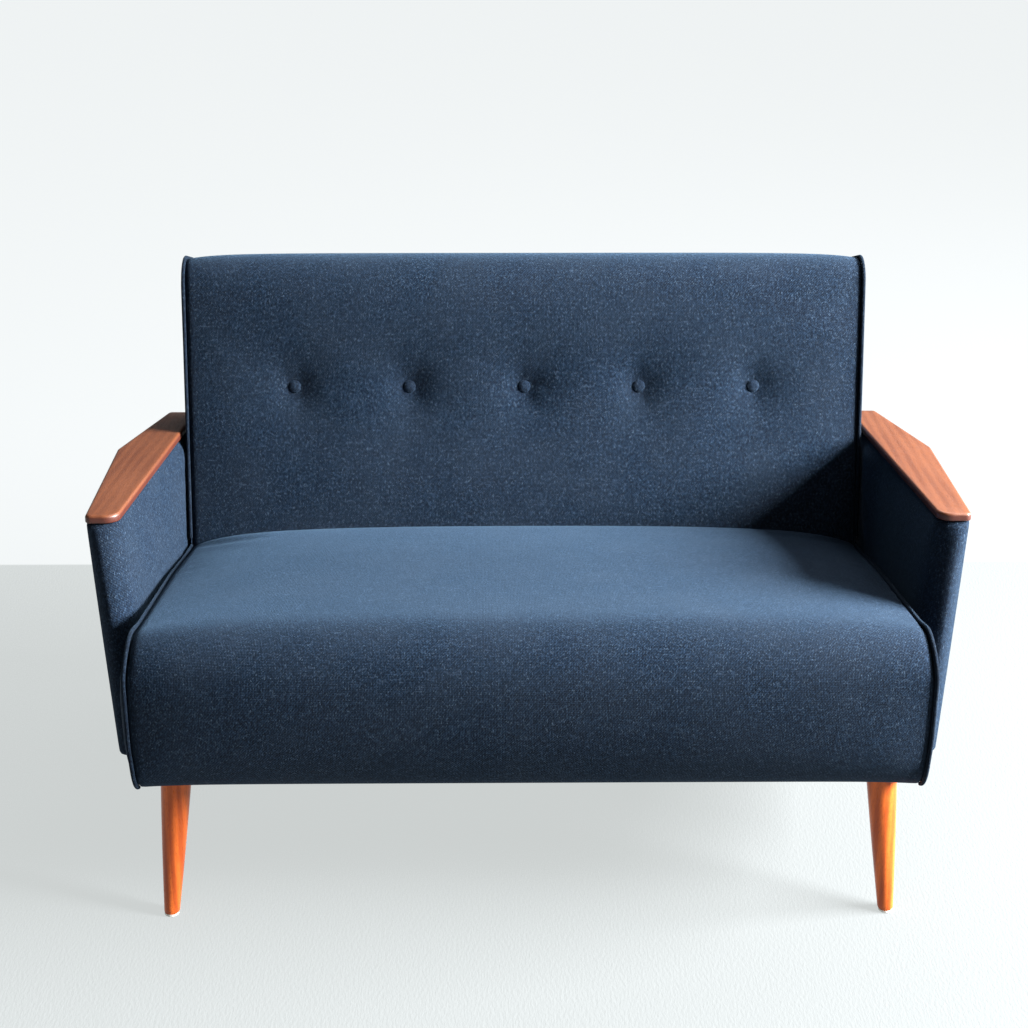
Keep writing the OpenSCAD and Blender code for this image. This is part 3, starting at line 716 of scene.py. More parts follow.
seatLook = {
    "toeCentre": (-0.404, 0.042), "toeRadius": 0.044, "noseCentre": (-0.398, 0.165), "noseRadius": 0.058,
    "faceAngle": 183.7, "topAngle": 85.3, "rearW": 0.180, "rearDrop": 0.008, "rearRound": 0.010,
    "footW": 0.098, "step": 0.0115, "endX": 0.5532,
    "crown": 0.0345, "crownReach": 0.105, "edgeReach": 0.012, "forward": 0.0095, "flare": 0.0035,
    "pressure": 3.2, "stiffness": 26.0, "bending": 1.2, "frames": 20, "cap": 0.009,
}
backLook = {
    "lean": 8.0, "u": 0.125, "atW": 0.180, "topW": 0.640, "rollRadius": 0.038, "rearRadius": 0.012,
    "topFall": 0.014, "padDepth": 0.058, "postTop": 0.613, "endDrop": 0.0065, "footW": 0.098,
    "rearFootU": 0.262, "rearTopU": 0.300,
    "step": 0.0115, "endX": 0.5532, "crown": 0.009, "crownReach": 0.11,
    "pressure": 2.6, "stiffness": 30.0, "bending": 1.6, "frames": 20, "cap": 0.008,
    "buttons": 5, "pitch": 0.188, "buttonW": 0.433, "tuftDepth": 0.0085,
    "tuftReach": 0.038, "foldHeight": 0.0016,
}


def frontU(w):
    return backLook["u"] + math.tan(math.radians(backLook["lean"])) * (w - backLook["atW"])


def rearU(w):
    return backLook["rearFootU"] + (backLook["rearTopU"] - backLook["rearFootU"]) * w / backLook["topW"]


def webU(w):
    return frontU(w) + backLook["padDepth"]


def middleU(w):
    return (frontU(w) + rearU(w)) / 2


def seatProfile(out=0.0, withRear=True):
    # the seat's side outline from under the toe to the back, moved out by a distance
    look = seatLook
    toe = arc(look["toeCentre"], look["toeRadius"] + out, 268, look["faceAngle"], 10)
    nose = arc(look["noseCentre"], look["noseRadius"] + out, look["faceAngle"], look["topAngle"], 18)
    end = np.array([frontU(look["rearW"]) - 0.0005, look["rearW"] - look["rearDrop"] + out])
    run = np.linspace(nose[-1], end - (look["rearRound"], 0), 14)[1:]
    # the top sinks towards the rear
    straight = look["rearW"] + out
    run[:, 1] = nose[-1][1] + (straight - nose[-1][1]) * np.linspace(1 / 13, 1, 13) \
        - look["rearDrop"] * smoothStep(-0.12, 0.12, run[:, 0])
    if not withRear:
        return np.vstack([toe, nose[1:], run, [end]])
    turn = arc((end[0] - look["rearRound"], end[1] - look["rearRound"]), look["rearRound"], 90, 8, 4)[1:]
    foot = [[frontU(look["footW"]) - 0.0005, look["footW"]]]
    return np.vstack([toe, nose[1:], run, turn, foot])


def alignedInner(outer, breaks, corners):
    # points on the inner line, matched to the outer chain by the outer's length at each break
    along = lengthsAlong(outer)
    nearest = [int(np.argmin(np.linalg.norm(outer - np.array(b), axis=1))) for b in breaks]
    at = np.concatenate([[0], along[nearest], [along[-1]]])
    corners = np.asarray(corners, float)
    return np.column_stack([np.interp(along, at, corners[:, k]) for k in (0, 1)])


def noseFlare(u, w):
    # the side seams bow outwards where they pass round the front roll
    upFace = smoothStep(0.01, 0.09, w) * (1 - smoothStep(0.17, 0.23, w))
    return seatLook["flare"] * upFace * (1 - smoothStep(-0.41, -0.33, u))


def evenX(half, step):
    count = int(round(2 * half / step))
    return np.linspace(-half, half, count + 1)


def makeSeat():
    look = seatLook
    profile = seatProfile()
    outer = evenly(profile, int(lengthsAlong(profile)[-1] / look["step"]))
    noseTop = (look["noseCentre"][0] - look["noseRadius"], look["noseCentre"][1])
    rearTop = (frontU(look["rearW"]) - 0.004, look["rearW"] - look["rearDrop"] - 0.002)
    inner = alignedInner(outer, [noseTop, rearTop],
                         [(-0.4046, 0.004), (-0.4046, 0.108), (0.100, 0.0975), (0.100, 0.0972)])
    xs = evenX(look["endX"], look["step"])
    seat, index = wrapMesh("seatPad", outer, inner, xs, navyCloth)
    body = unplaced(pointsOf(seat))
    top = index[:, 2] == 0
    # crown the foam before the cover is stretched over it
    inset = look["endX"] - np.abs(body[:, 0])
    rise = 0.22 * (1 - np.exp(-inset / look["edgeReach"])) + 0.78 * (1 - np.exp(-inset / look["crownReach"]))
    u, w = body[:, 1], body[:, 2]
    lift = smoothStep(0.105, 0.170, w) * (0.40 + 0.60 * smoothStep(-0.38, 0.06, u))
    push = smoothStep(0.010, 0.120, w) * (1 - smoothStep(0.16, 0.23, w) * 0.4)
    push *= 1 - smoothStep(-0.36, -0.30, u)
    body[:, 2] += np.where(top, look["crown"] * rise * lift, 0)
    body[:, 1] -= np.where(top, look["forward"] * rise * push, 0)
    body[:, 0] += np.sign(body[:, 0]) * noseFlare(u, w) * np.exp(-inset / 0.12)
    # the lower corners hang a little
    corner = np.exp(-inset / 0.045) * (1 - smoothStep(0.0, 0.05, w)) * (u < -0.36)
    body[:, 2] -= np.where(top, 0.003 * corner, 0)
    setPoints(seat, placed(body))
    held = (index[:, 2] == 1) | (index[:, 1] == 0) | (index[:, 1] == len(xs) - 1) \
        | (index[:, 0] < 2) | (index[:, 0] > len(outer) - 5)
    swell(seat, held, look)
    subdivided(seat)
    body = unplaced(pointsOf(seat))
    # it stops at the back's face
    limit = frontU(0) + math.tan(math.radians(backLook["lean"])) * body[:, 2] + 0.001
    body[:, 1] = np.minimum(body[:, 1], limit)
    setPoints(seat, placed(body))
    keep(seat, ["seat_foam", "front_edge_roll", "seat_cover"])


makeSeat()
print("seat pad ready")


def closedLoop(points, step):
    ring = np.vstack([points, points[:1]])
    count = max(24, int(lengthsAlong(ring)[-1] / step))
    return evenly(ring, count + 1)[:-1]


sideLook = {"x": 0.5530, "thickness": 0.0015, "bulge": 0.0145, "roundness": 2.6, "step": 0.012,
            "rings": (1.0, 0.97, 0.92, 0.84, 0.72, 0.55, 0.36, 0.18, 0.0)}


def makeSeatSide(side, name, node):
    profile = seatProfile(withRear=False)
    outline = np.vstack([profile, [(frontU(0.0) - 0.0005, 0.0), (-0.404, 0.0)]])
    panel = panelMesh(name, closedLoop(outline, sideLook["step"]), ((-0.395, 0.10), (0.05, 0.09)),
                      sideLook, side, navyCloth)
    body = unplaced(pointsOf(panel))
    # flat where the arm is bolted against it
    free = 1 - smoothStep(-0.345, -0.285, body[:, 1])
    beyond = np.maximum(np.abs(body[:, 0]) - sideLook["x"], 0)
    body[:, 0] -= side * beyond * (1 - np.maximum(free, 0.07))
    body[:, 0] += side * noseFlare(body[:, 1], body[:, 2])
    setPoints(panel, placed(body))
    subdivided(panel)
    keep(panel, [node])


for side, name, node in ((-1, "seatSideLeft", "left_seat_panel"), (1, "seatSideRight", "right_seat_panel")):
    makeSeatSide(side, name, node)
print("seat sides ready")


def topDrop(w):
    # how far the top edge sinks where it meets the side seams
    return backLook["endDrop"] * smoothStep(backLook["topW"] - 0.085, backLook["topW"] - 0.007, w)


def backProfile(out=0.0, startW=None):
    look = backLook
    lean = math.radians(look["lean"])
    rollW = look["topW"] - look["rollRadius"]
    rollCentre = (frontU(rollW) + look["rollRadius"] / math.cos(lean), rollW)
    rearW = look["topW"] - look["topFall"] - look["rearRadius"]
    rearCentre = (rearU(rearW) - look["rearRadius"], rearW)
    start = look["footW"] if startW is None else startW
    parts = [np.array([[frontU(start) - out, start]]),
             arc(rollCentre, look["rollRadius"] + out, 180 - look["lean"], 84, 14),
             arc(rearCentre, look["rearRadius"] + out, 80, 0, 6)]
    return np.vstack(parts)


def buttonXs():
    look = backLook
    return [(i - (look["buttons"] - 1) / 2) * look["pitch"] for i in range(look["buttons"])]


def tuftShare(x, w):
    # how far the surface is drawn in, from 1 at a button's rim to 0 well away from it
    share = np.zeros(len(x))
    for bx in buttonXs():
        r = np.hypot(x - bx, w - backLook["buttonW"])
        share = np.maximum(share, 1 / (1 + (np.maximum(r - 0.006, 0) / backLook["tuftReach"]) ** 1.6) ** 1.5)
    return share


def makeBack():
    look = backLook
    lean = math.radians(look["lean"])
    profile = backProfile()
    outer = evenly(profile, int(lengthsAlong(profile)[-1] / look["step"]))
    post = look["postTop"]
    inner = alignedInner(outer, [(frontU(post), post), (webU(post), look["topW"] - 0.004)],
                         [(webU(0.1) - 0.006, 0.0985), (webU(post) - 0.006, post - 0.0005),
                          (webU(post) + 0.004, post + 0.0007), (rearU(post) - 0.004, post + 0.0007)])
    xs = evenX(look["endX"], look["step"])
    back, index = wrapMesh("backPad", outer, inner, xs, navyCloth)
    body = unplaced(pointsOf(back))
    top = index[:, 2] == 0
    x, u, w = body.T
    inset = look["endX"] - np.abs(x)
    rise = 1 - np.exp(-inset / look["crownReach"])
    face = smoothStep(0.10, 0.30, w) * (1 - smoothStep(0.593, 0.643, w))
    out = np.where(top, look["crown"] * rise * face, 0)
    tuft = np.where(top & (u < webU(0.2) + 0.05), tuftShare(x, w), 0)
    out = out * (1 - tuft) - look["tuftDepth"] * tuft
    body[:, 1] -= out * math.cos(lean)
    body[:, 2] += out * math.sin(lean)
    # the top edge drops at the ends, where it turns down into the side seams
    body[:, 2] -= topDrop(w) * np.exp(-((np.maximum(inset, 0) / 0.030) ** 1.2)) * top
    setPoints(back, placed(body))
    near = np.min([np.hypot(x - bx, w - look["buttonW"]) for bx in buttonXs()], axis=0) < 0.013
    held = (index[:, 2] == 1) | (index[:, 1] == 0) | (index[:, 1] == len(xs) - 1) \
        | (index[:, 0] < 2) | (index[:, 0] > len(outer) - 3) | (near & top)
    swell(back, held, look)
    subdivided(back)
    # short folds run out from each button, longest towards its neighbours
    body = unplaced(pointsOf(back))
    x, u, w = body.T
    onFace = (u < frontU(0.0) + math.tan(lean) * w + 0.02) & (w > 0.25)
    fold = np.zeros(len(x))
    for n, bx in enumerate(buttonXs()):
        dx, dw = x - bx, w - look["buttonW"]
        r, angle = np.hypot(dx, dw), np.arctan2(dw, dx)
        lobes = 0.6 * np.cos(4 * angle + 0.5 * n) + 0.4 * np.cos(7 * angle + 1.7 * n) \
            + 0.35 * np.cos(11 * angle - 0.9 * n) * np.exp(-r / 0.02)
        fold += lobes * (r / 0.014) * np.exp(-r / 0.016) * smoothStep(0.008, 0.016, r)
    body[:, 1] -= np.where(onFace, look["foldHeight"] * fold, 0)
    setPoints(back, placed(body))
    keep(back, ["back_foam", "back_top_pad", "back_cover"])


makeBack()
print("back pad ready")

backSideLook = dict(sideLook, bulge=0.0105, roundness=2.1)


def makeBackSide(side, name, node):
    profile = backProfile(startW=0.0)
    outline = np.vstack([profile, [(rearU(0.30), 0.30), (rearU(0.0), 0.0)]])
    spine = ((middleU(0.05), 0.05), (middleU(0.585), 0.585))
    panel = panelMesh(name, closedLoop(outline, sideLook["step"]), spine, backSideLook, side, navyCloth)
    body = unplaced(pointsOf(panel))
    free = smoothStep(0.32, 0.39, body[:, 2])
    beyond = np.maximum(np.abs(body[:, 0]) - sideLook["x"], 0)
    body[:, 0] -= side * beyond * (1 - np.maximum(free, 0.12))
    body[:, 2] -= topDrop(body[:, 2])
    setPoints(panel, placed(body))
    subdivided(panel)
    keep(panel, [node])


for side, name, node in ((-1, "backSideLeft", "left_back_panel"), (1, "backSideRight", "right_back_panel")):
    makeBackSide(side, name, node)
print("back sides ready")

weltLook = {"radius": 0.0030, "corners": 12, "x": 0.5525, "step": 0.006, "out": 0.0022, "backFromW": 0.186,
            "seatSink": 0.0042}


def makeWelt(side, name, node, profile, isSeat):
    u, w = evenly(profile, int(lengthsAlong(profile)[-1] / weltLook["step"])).T
    # on the seat's top the foam rolls over the cord
    if isSeat:
        sink = weltLook["seatSink"] * smoothStep(-0.40, -0.34, u) * smoothStep(0.16, 0.185, w)
        flare = noseFlare(u, w)
    else:
        sink = topDrop(w)
        flare = np.zeros(len(u))
    points = placed(np.column_stack([side * (weltLook["x"] + flare), u, w - sink]))
    cord = runTree(pathObject(name, [points]), sweptCord,
                   {"Radius": weltLook["radius"], "Corners": weltLook["corners"], "Cloth": navyPaintedShadeTrim})
    keep(cord, [node])


for side, word in ((-1, "left"), (1, "right")):
    seatLine = seatProfile(weltLook["out"], False)[2:]
    backLine = backProfile(weltLook["out"], weltLook["backFromW"])
    makeWelt(side, f"seatWelt{word.title()}", f"{word}_seat_piping", seatLine, True)
    makeWelt(side, f"backWelt{word.title()}", f"{word}_back_piping", backLine, False)
print("welts ready")

buttonLook = {"radius": 0.0112, "dome": 0.0052, "rim": 0.0030, "rings": 12, "sides": 64, "pleats": 14,
              "pleatDepth": 0.00028, "seat": 0.0110}


def makeButtons():
    look = buttonLook
    lean = math.radians(backLook["lean"])
    normal = np.array([0.0, -math.cos(lean), math.sin(lean)])
    up = np.array([0.0, math.sin(lean), math.cos(lean)])
    points, faces, flat = [], [], []
    outline = [(0.72, -0.0004), (0.96, 0.0), (1.0, 0.5)] + \
        [(math.cos(a), 1.0 + math.sin(a)) for a in np.linspace(0, math.pi / 2, look["rings"])[1:-1]]
    for bx in buttonXs():
        centre = np.array([bx, frontU(backLook["buttonW"]), backLook["buttonW"]]) - normal * look["seat"]
        first = len(points)
        for reach, height in outline:
            level = height * look["rim"] if height <= 1 else look["rim"] + (height - 1) * look["dome"]
            for s in range(look["sides"]):
                angle = 2 * math.pi * s / look["sides"]
                pleat = look["pleatDepth"] * math.cos(look["pleats"] * angle) * smoothStep(0.75, 1.0, reach)
                r = look["radius"] * reach + pleat
                sideways = np.array([math.cos(angle) * r, 0, 0])
                points.append(centre + normal * level + sideways + up * math.sin(angle) * r)
                flat.append((bx + math.cos(angle) * r, math.sin(angle) * r))
        rows = len(outline)
        faces += ringFaces(rows, look["sides"], first)
        for row, level in ((0, -0.0004), (rows - 1, look["rim"] + look["dome"])):
            middle = len(points)
            points.append(centre + normal * level)
            flat.append((bx, 0))
            for s in range(look["sides"]):
                a = first + row * look["sides"]
                faces.append((a + s, a + (s + 1) % look["sides"], middle))
    buttons = buildMesh("coveredButtons", placed(points), faces, flat, material=navyCloth)
    keep(buttons, ["back_buttons"])


makeButtons()
print("buttons ready")

armLook = {
    "capPlan": ((0.583, -0.294, 0.022), (0.630, -0.294, 0.009), (0.649, 0.052, 0.014),
                (0.605, 0.283, 0.008), (0.567, 0.283, 0.004)),
    "capRearInX": 0.5588,
    "footPlan": ((0.5565, -0.300, 0.012), (0.604, -0.300, 0.010), (0.619, 0.048, 0.014),
                 (0.601, 0.262, 0.008), (0.5565, 0.262, 0.004)),
    "lowW": -0.012, "topW": 0.3478, "capTopW": 0.360, "step": 0.0115, "cornerSteps": 5,
    "pressure": 2.4, "stiffness": 34.0, "bending": 2.0, "frames": 20, "cap": 0.0055,
    "topRounds": (0.029, 0.015, 0.014, 0.008, 0.004), "footRounds": (0.024, 0.014, 0.014, 0.008, 0.004),
    "frontBelly": 0.0055,
}


def roundedPlan(plan, inset, cornerSteps, sideSteps, radii=None):
    # a convex plan with rounded corners, moved in by inset, as evenly matched points
    corners = np.array([(x, u) for x, u, _ in plan])
    rounds = [r for _, _, r in plan] if radii is None else list(radii)
    count = len(corners)
    arcs = []
    for k in range(count):
        here, before, after = corners[k], corners[k - 1], corners[(k + 1) % count]
        inDir = (here - before) / np.linalg.norm(here - before)
        outDir = (after - here) / np.linalg.norm(after - here)
        turn = math.acos(np.clip(inDir @ outDir, -1, 1))
        setBack = rounds[k] * math.tan(turn / 2)
        start = here - inDir * setBack
        normal = np.array([-inDir[1], inDir[0]])
        if np.cross(inDir, outDir) < 0:
            normal = -normal
        centre = start + normal * rounds[k]
        first = math.atan2(*(start - centre)[::-1])
        sign = 1 if np.cross(inDir, outDir) > 0 else -1
        angles = first + sign * np.linspace(0, turn, cornerSteps + 1)
        r = max(rounds[k] - inset, 0.0002)
        arcs.append(np.column_stack([centre[0] + r * np.cos(angles), centre[1] + r * np.sin(angles)]))
    ring = []
    for k in range(count):
        ring.append(arcs[k])
        a, b = arcs[k][-1], arcs[(k + 1) % count][0]
        ring.append(a + (b - a) * np.linspace(0, 1, sideSteps[k] + 1)[1:-1, None])
    return np.vstack(ring)


def sideCounts(plan, step):
    corners = np.array([(x, u) for x, u, _ in plan])
    return [max(2, int(round(np.linalg.norm(corners[(k + 1) % len(corners)] - corners[k]) / step)))
            for k in range(len(corners))]


def makeArm(side, name, nodes):
    look = armLook
    counts = sideCounts(look["footPlan"], look["step"])
    upper = roundedPlan(look["capPlan"], 0.0, look["cornerSteps"], counts, look["topRounds"])
    lower = roundedPlan(look["footPlan"], 0.0, look["cornerSteps"], counts, look["footRounds"])
    levels = int((look["topW"] - look["lowW"]) / look["step"])
    size = len(lower)
    points, flat = [], []
    ringWidth = lengthsAlong(np.vstack([lower, lower[:1]]))
    shares = (0.35, 0.7, 0.92)

    def addRing(share, t, w):
        ring = lower + (upper - lower) * t
        middle = ring.mean(0)
        ring = middle + (ring - middle) * share
        for n, (x, u) in enumerate(ring):
            points.append((side * x, u, w))
            flat.append((ringWidth[n], w + (1 - share) * 0.05))

    for share in shares:
        addRing(share, 0.0, look["lowW"])
    for i in range(levels + 1):
        t = i / levels
        addRing(1.0, t, look["lowW"] + (look["topW"] - look["lowW"]) * t)
    for share in reversed(shares):
        addRing(share, 1.0, look["topW"])
    rows = len(points) // size
    faces = ringFaces(rows, size)
    for row in (0, rows - 1):
        middle = len(points)
        points.append(tuple(np.mean(points[row * size:(row + 1) * size], axis=0)))
        flat.append((0.0, 0.0))
        for n in range(size):
            faces.append((row * size + n, row * size + (n + 1) % size, middle))
    arm = buildMesh(name, placed(points), faces, flat, around=float(ringWidth[-1]), material=navyCloth)
    start = pointsOf(arm)
    row = np.append(np.arange(rows * size) // size, (0, rows - 1))
    held = (row < 5) | (row > rows - 5)
    swell(arm, held, look)
    # no swelling where it is pressed against the seat and the back
    body, first = unplaced(pointsOf(arm)), unplaced(start)
    x, u, w = first.T
    innerFace = np.abs(x) < 0.5585 + 0.0125 * np.clip(w / 0.35, 0, 1)
    freeInside = smoothStep(0.185, 0.235, w) * (1 - smoothStep(0.06, 0.12, u))
    freeInside = np.maximum(freeInside, 1 - smoothStep(-0.300, -0.285, u))
    keepShare = np.where(innerFace, freeInside, 1.0)
    body = first + (body - first) * keepShare[:, None]
    # towards the rear the cover closes up against the back
    share = np.clip((w - look["lowW"]) / (look["topW"] - look["lowW"]), 0, 1)
    faceX = 0.5565 + share * (0.583 - 0.016 * (u + 0.294) / 0.577 - 0.5565)
    near = 1 - smoothStep(0.001, 0.008, np.abs(x) - faceX)
    close = near * np.maximum(faceX - 0.5592, 0) * smoothStep(0.03, 0.125, u)
    close *= 1 - smoothStep(0.955, 1.0, share)
    body[:, 0] -= np.sign(x) * close
    # the front is padded round from side to side
    across = (np.abs(x) - (0.580 + 0.0265 * share)) / 0.0245
    belly = np.clip(1 - across ** 2, 0, 1) * (1 - smoothStep(-0.300, -0.275, u)) \
        * smoothStep(0.0, 0.08, share) * (1 - smoothStep(0.93, 1.0, share))
    body[:, 1] -= look["frontBelly"] * belly
    setPoints(arm, placed(body))
    subdivided(arm)
    keep(arm, nodes)


for side, word in ((-1, "left"), (1, "right")):
    makeArm(side, f"armPad{word.title()}", [f"{word}_arm_foam", f"{word}_arm_cover"])
print("arms ready")

capLook = {"cornerSteps": 10, "sideStep": 0.012, "topEase": 0.0042, "lowEase": 0.002, "thickness": 0.012}


def makeCap(side, name, node):
    look = capLook
    # the rear inner corner reaches in to touch the back
    plan = armLook["capPlan"][:4] + ((armLook["capRearInX"], *armLook["capPlan"][4][1:]),)
    counts = sideCounts(plan, look["sideStep"])
    top, low = armLook["capTopW"], armLook["capTopW"] - look["thickness"]
    rows = []
    for angle in np.linspace(0, 90, 4):
        a = math.radians(angle)
        rows.append((look["lowEase"] * (1 - math.sin(a)), low + look["lowEase"] * (1 - math.cos(a))))
    for angle in np.linspace(0, 90, 7):
        a = math.radians(angle)
        rows.append((look["topEase"] * (1 - math.cos(a)), top - look["topEase"] * (1 - math.sin(a))))
    points = []
    edge = roundedPlan(plan, 0.0, look["cornerSteps"], counts)
    size = len(edge)
    centre = edge.mean(0)

    def addRing(ring, w):
        points.extend((side * x, u, w) for x, u in ring)

    lowRing = roundedPlan(plan, rows[0][0], look["cornerSteps"], counts)
    topRing = roundedPlan(plan, rows[-1][0], look["cornerSteps"], counts)
    for share in (0.03, 0.5, 0.9):
        addRing(centre + (lowRing - centre) * share, low)
    for inset, w in rows:
        addRing(roundedPlan(plan, inset, look["cornerSteps"], counts), w)
    for share in (0.9, 0.6, 0.3, 0.03):
        addRing(centre + (topRing - centre) * share, top)
    total = len(points) // size
    faces = ringFaces(total, size)
    for row in (0, total - 1):
        faces.append(tuple(row * size + n for n in range(size)))
    cap = buildMesh(name, placed(points), faces, material=capWood)
    keep(cap, [node])


for side, word in ((-1, "left"), (1, "right")):
    makeCap(side, f"armCap{word.title()}", f"{word}_arm_cap")
print("arm caps ready")

legLook = {"topX": 0.507, "footX": 0.522, "frontU": -0.371, "rearU": 0.221,
           "frontRake": -0.047, "rearRake": 0.030, "topRadius": 0.0225, "footRadius": 0.011,
           "glide": 0.004, "plate": 0.0032, "edge": 0.0012, "swell": 0.0006, "sides": 96, "rings": 26}


def makeLeg(side, u, rake, name, node):
    look = legLook
    head = placed([(side * look["topX"], u, 0.0)])[0]
    foot = np.array([side * look["footX"], head[1] + rake, 0.0])
    axis = head - foot
    run = np.linalg.norm(axis)
    axis = axis / run
    across = np.cross(axis, (0, 1, 0))
    across /= np.linalg.norm(across)
    other = np.cross(axis, across)
    up = placed([(0, 0, 1)])[0] - placed([(0, 0, 0)])[0]
    plane = head - up * look["plate"]
    rows = []
    angles = 2 * math.pi * np.arange(look["sides"]) / look["sides"]
    spoke = np.cos(angles)[:, None] * across + np.sin(angles)[:, None] * other
    grow = (look["topRadius"] - look["footRadius"]) / run
    # each line up the cone is cut at the floor glide and at the plate
    start = foot + spoke * look["footRadius"]
    line = axis + spoke * grow
    low = (look["glide"] - start[:, 2]) / line[:, 2]
    high = ((plane - start) @ up) / (line @ up)
    edge = look["edge"]
    shares = np.concatenate([[0.0, 0.004], np.linspace(0.008, 0.992, look["rings"]), [1.0]])
    for share in shares:
        at = low + (high - low) * share
        ring = start + line * at[:, None]
        belly = look["swell"] * math.sin(math.pi * share)
        drawn = -edge * 0.7 if share == 0.0 else (-edge * 0.2 if share == 0.004 else 0.0)
        drawn = -edge * 0.4 if share == 1.0 else drawn
        rows.append(ring + spoke * (belly + drawn))
    points = list(np.vstack(rows))
    size, total = look["sides"], len(rows)
    faces = ringFaces(total, size)
    for row in (0, total - 1):
        faces.append(tuple(row * size + n for n in range(size)))
    leg = buildMesh(name, points, faces, material=legWood)
    keep(leg, [node])


for side, word in ((-1, "left"), (1, "right")):
    makeLeg(side, legLook["frontU"], legLook["frontRake"], f"frontLeg{word.title()}", f"front_{word}_leg")
    makeLeg(side, legLook["rearU"], legLook["rearRake"], f"rearLeg{word.title()}", f"rear_{word}_leg")
print("legs ready")

outsideLook = {"halfX": 0.5525, "lowW": 0.0005, "step": 0.014, "bulge": 0.0035, "thickness": 0.003,
               "hem": 0.010, "stitchSpacing": 0.011, "stitchInset": 0.0028, "stitchOut": 0.0010}


def gridSheet(name, xs, us, place, hole, material):
    # a flat grid laid by place(x, u), with no faces where hole(x, u) says so
    columns = len(xs)
    points = [place(x, u) for u in us for x in xs]
    faces = []
    for i in range(len(us) - 1):
        for j in range(columns - 1):
            if not hole((xs[j] + xs[j + 1]) / 2, (us[i] + us[i + 1]) / 2):
                a = i * columns + j
                faces.append((a, a + 1, a + columns + 1, a + columns))
    return buildMesh(name, placed(points), faces, [(x, u) for u in us for x in xs], material=material)


def thickened(obj, thickness):
    wall = obj.modifiers.new("wall", "SOLIDIFY")
    wall.thickness = thickness
    wall.offset = 0.0
    applied(obj)


def makeOutsideBack():
    look = outsideLook
    top = backLook["topW"] - backLook["topFall"] - backLook["rearRadius"] - 0.0005
    xs = evenX(look["halfX"], look["step"])
    ws = np.linspace(look["lowW"], top, int((top - look["lowW"]) / look["step"]) + 1)

    def place(x, w):
        inset = min(look["halfX"] - abs(x), w - look["lowW"] + 0.004, top - w)
        rise = look["bulge"] * (1 - math.exp(-max(inset, 0) / 0.05)) \
            + 0.0009 * math.exp(-((inset - look["hem"]) / 0.004) ** 2)
        return x, rearU(w) + rise - 0.002, w

    sheet = gridSheet("outsideBack", xs, ws, place, lambda x, w: False, navyCloth)
    thickened(sheet, look["thickness"])
    keep(sheet, ["outside_back"])
    return top


outsideTop = makeOutsideBack()


def stitchShape():
    # one short bar of thread, its length along X
    points = []
    for x, r in ((-0.0034, 0.0001), (-0.0024, 0.00042), (0.0, 0.0005), (0.0024, 0.00042), (0.0034, 0.0001)):
        lift = 0.0006 * (1 - (x / 0.0034) ** 2)
        for s in range(6):
            a = math.pi * s / 3
            points.append((x, r * math.cos(a), lift + r * math.sin(a)))
    faces = ringFaces(5, 6) + [tuple(range(6)), tuple(range(24, 30))]
    return buildMesh("stitch", points, faces)


def stapleShape():
    # a flat-topped wire staple, crown along X, its legs pressed into the wood
    half, drop, r = 0.0050, 0.0012, 0.00045
    path = [(-half, -drop), (-half, -0.0002), (-half + 0.0005, 0.0002), (half - 0.0005, 0.0002),
            (half, -0.0002), (half, -drop)]
    points = []
    for x, z in path:
        for s in range(6):
            a = math.pi * s / 3
            sideways = 1.0 if abs(x) < half else 0.0
            points.append((x + (r * math.sin(a) if not sideways else 0), r * math.cos(a),
                           z + (r * math.sin(a) if sideways else 0)))
    faces = ringFaces(6, 6) + [tuple(range(6)), tuple(range(30, 36))]
    return buildMesh("staple", points, faces)


def makeStitches():
    # the outside back is slip-stitched by hand to the sides and along the top
    look = outsideLook
    inset, out = look["stitchInset"], look["stitchOut"]
    paths = []
    for side in (-1, 1):
        ws = np.linspace(0.02, outsideTop - 0.006, 60)
        paths.append(placed([(side * (look["halfX"] - inset), rearU(w) + out, w) for w in ws]))
    xs = np.linspace(-look["halfX"] + 0.008, look["halfX"] - 0.008, 60)
    topW = outsideTop - inset
    paths.append(placed([(x, rearU(topW) + out, topW) for x in xs]))
    shape = stitchShape()
    rearNormal = placed([(0, 1, 0)])[0] - placed([(0, 0, 0)])[0]
    row = runTree(pathObject("backStitches", paths), setInRow,
                  {"Spacing": look["stitchSpacing"], "Piece": shape, "Facing": tuple(rearNormal),
                   "Wander": 0.10, "Finish": navyPaintedShadeTrim, "Seed": 4})
    bpy.data.objects.remove(shape)
    keep(row)


makeStitches()

dustLook = {"halfX": 0.545, "lowU": -0.400, "w": -0.00075, "thickness": 0.0007, "sag": 0.004, "step": 0.017,
            "window": 0.030, "stapleSpacing": 0.032, "edge": 0.009}


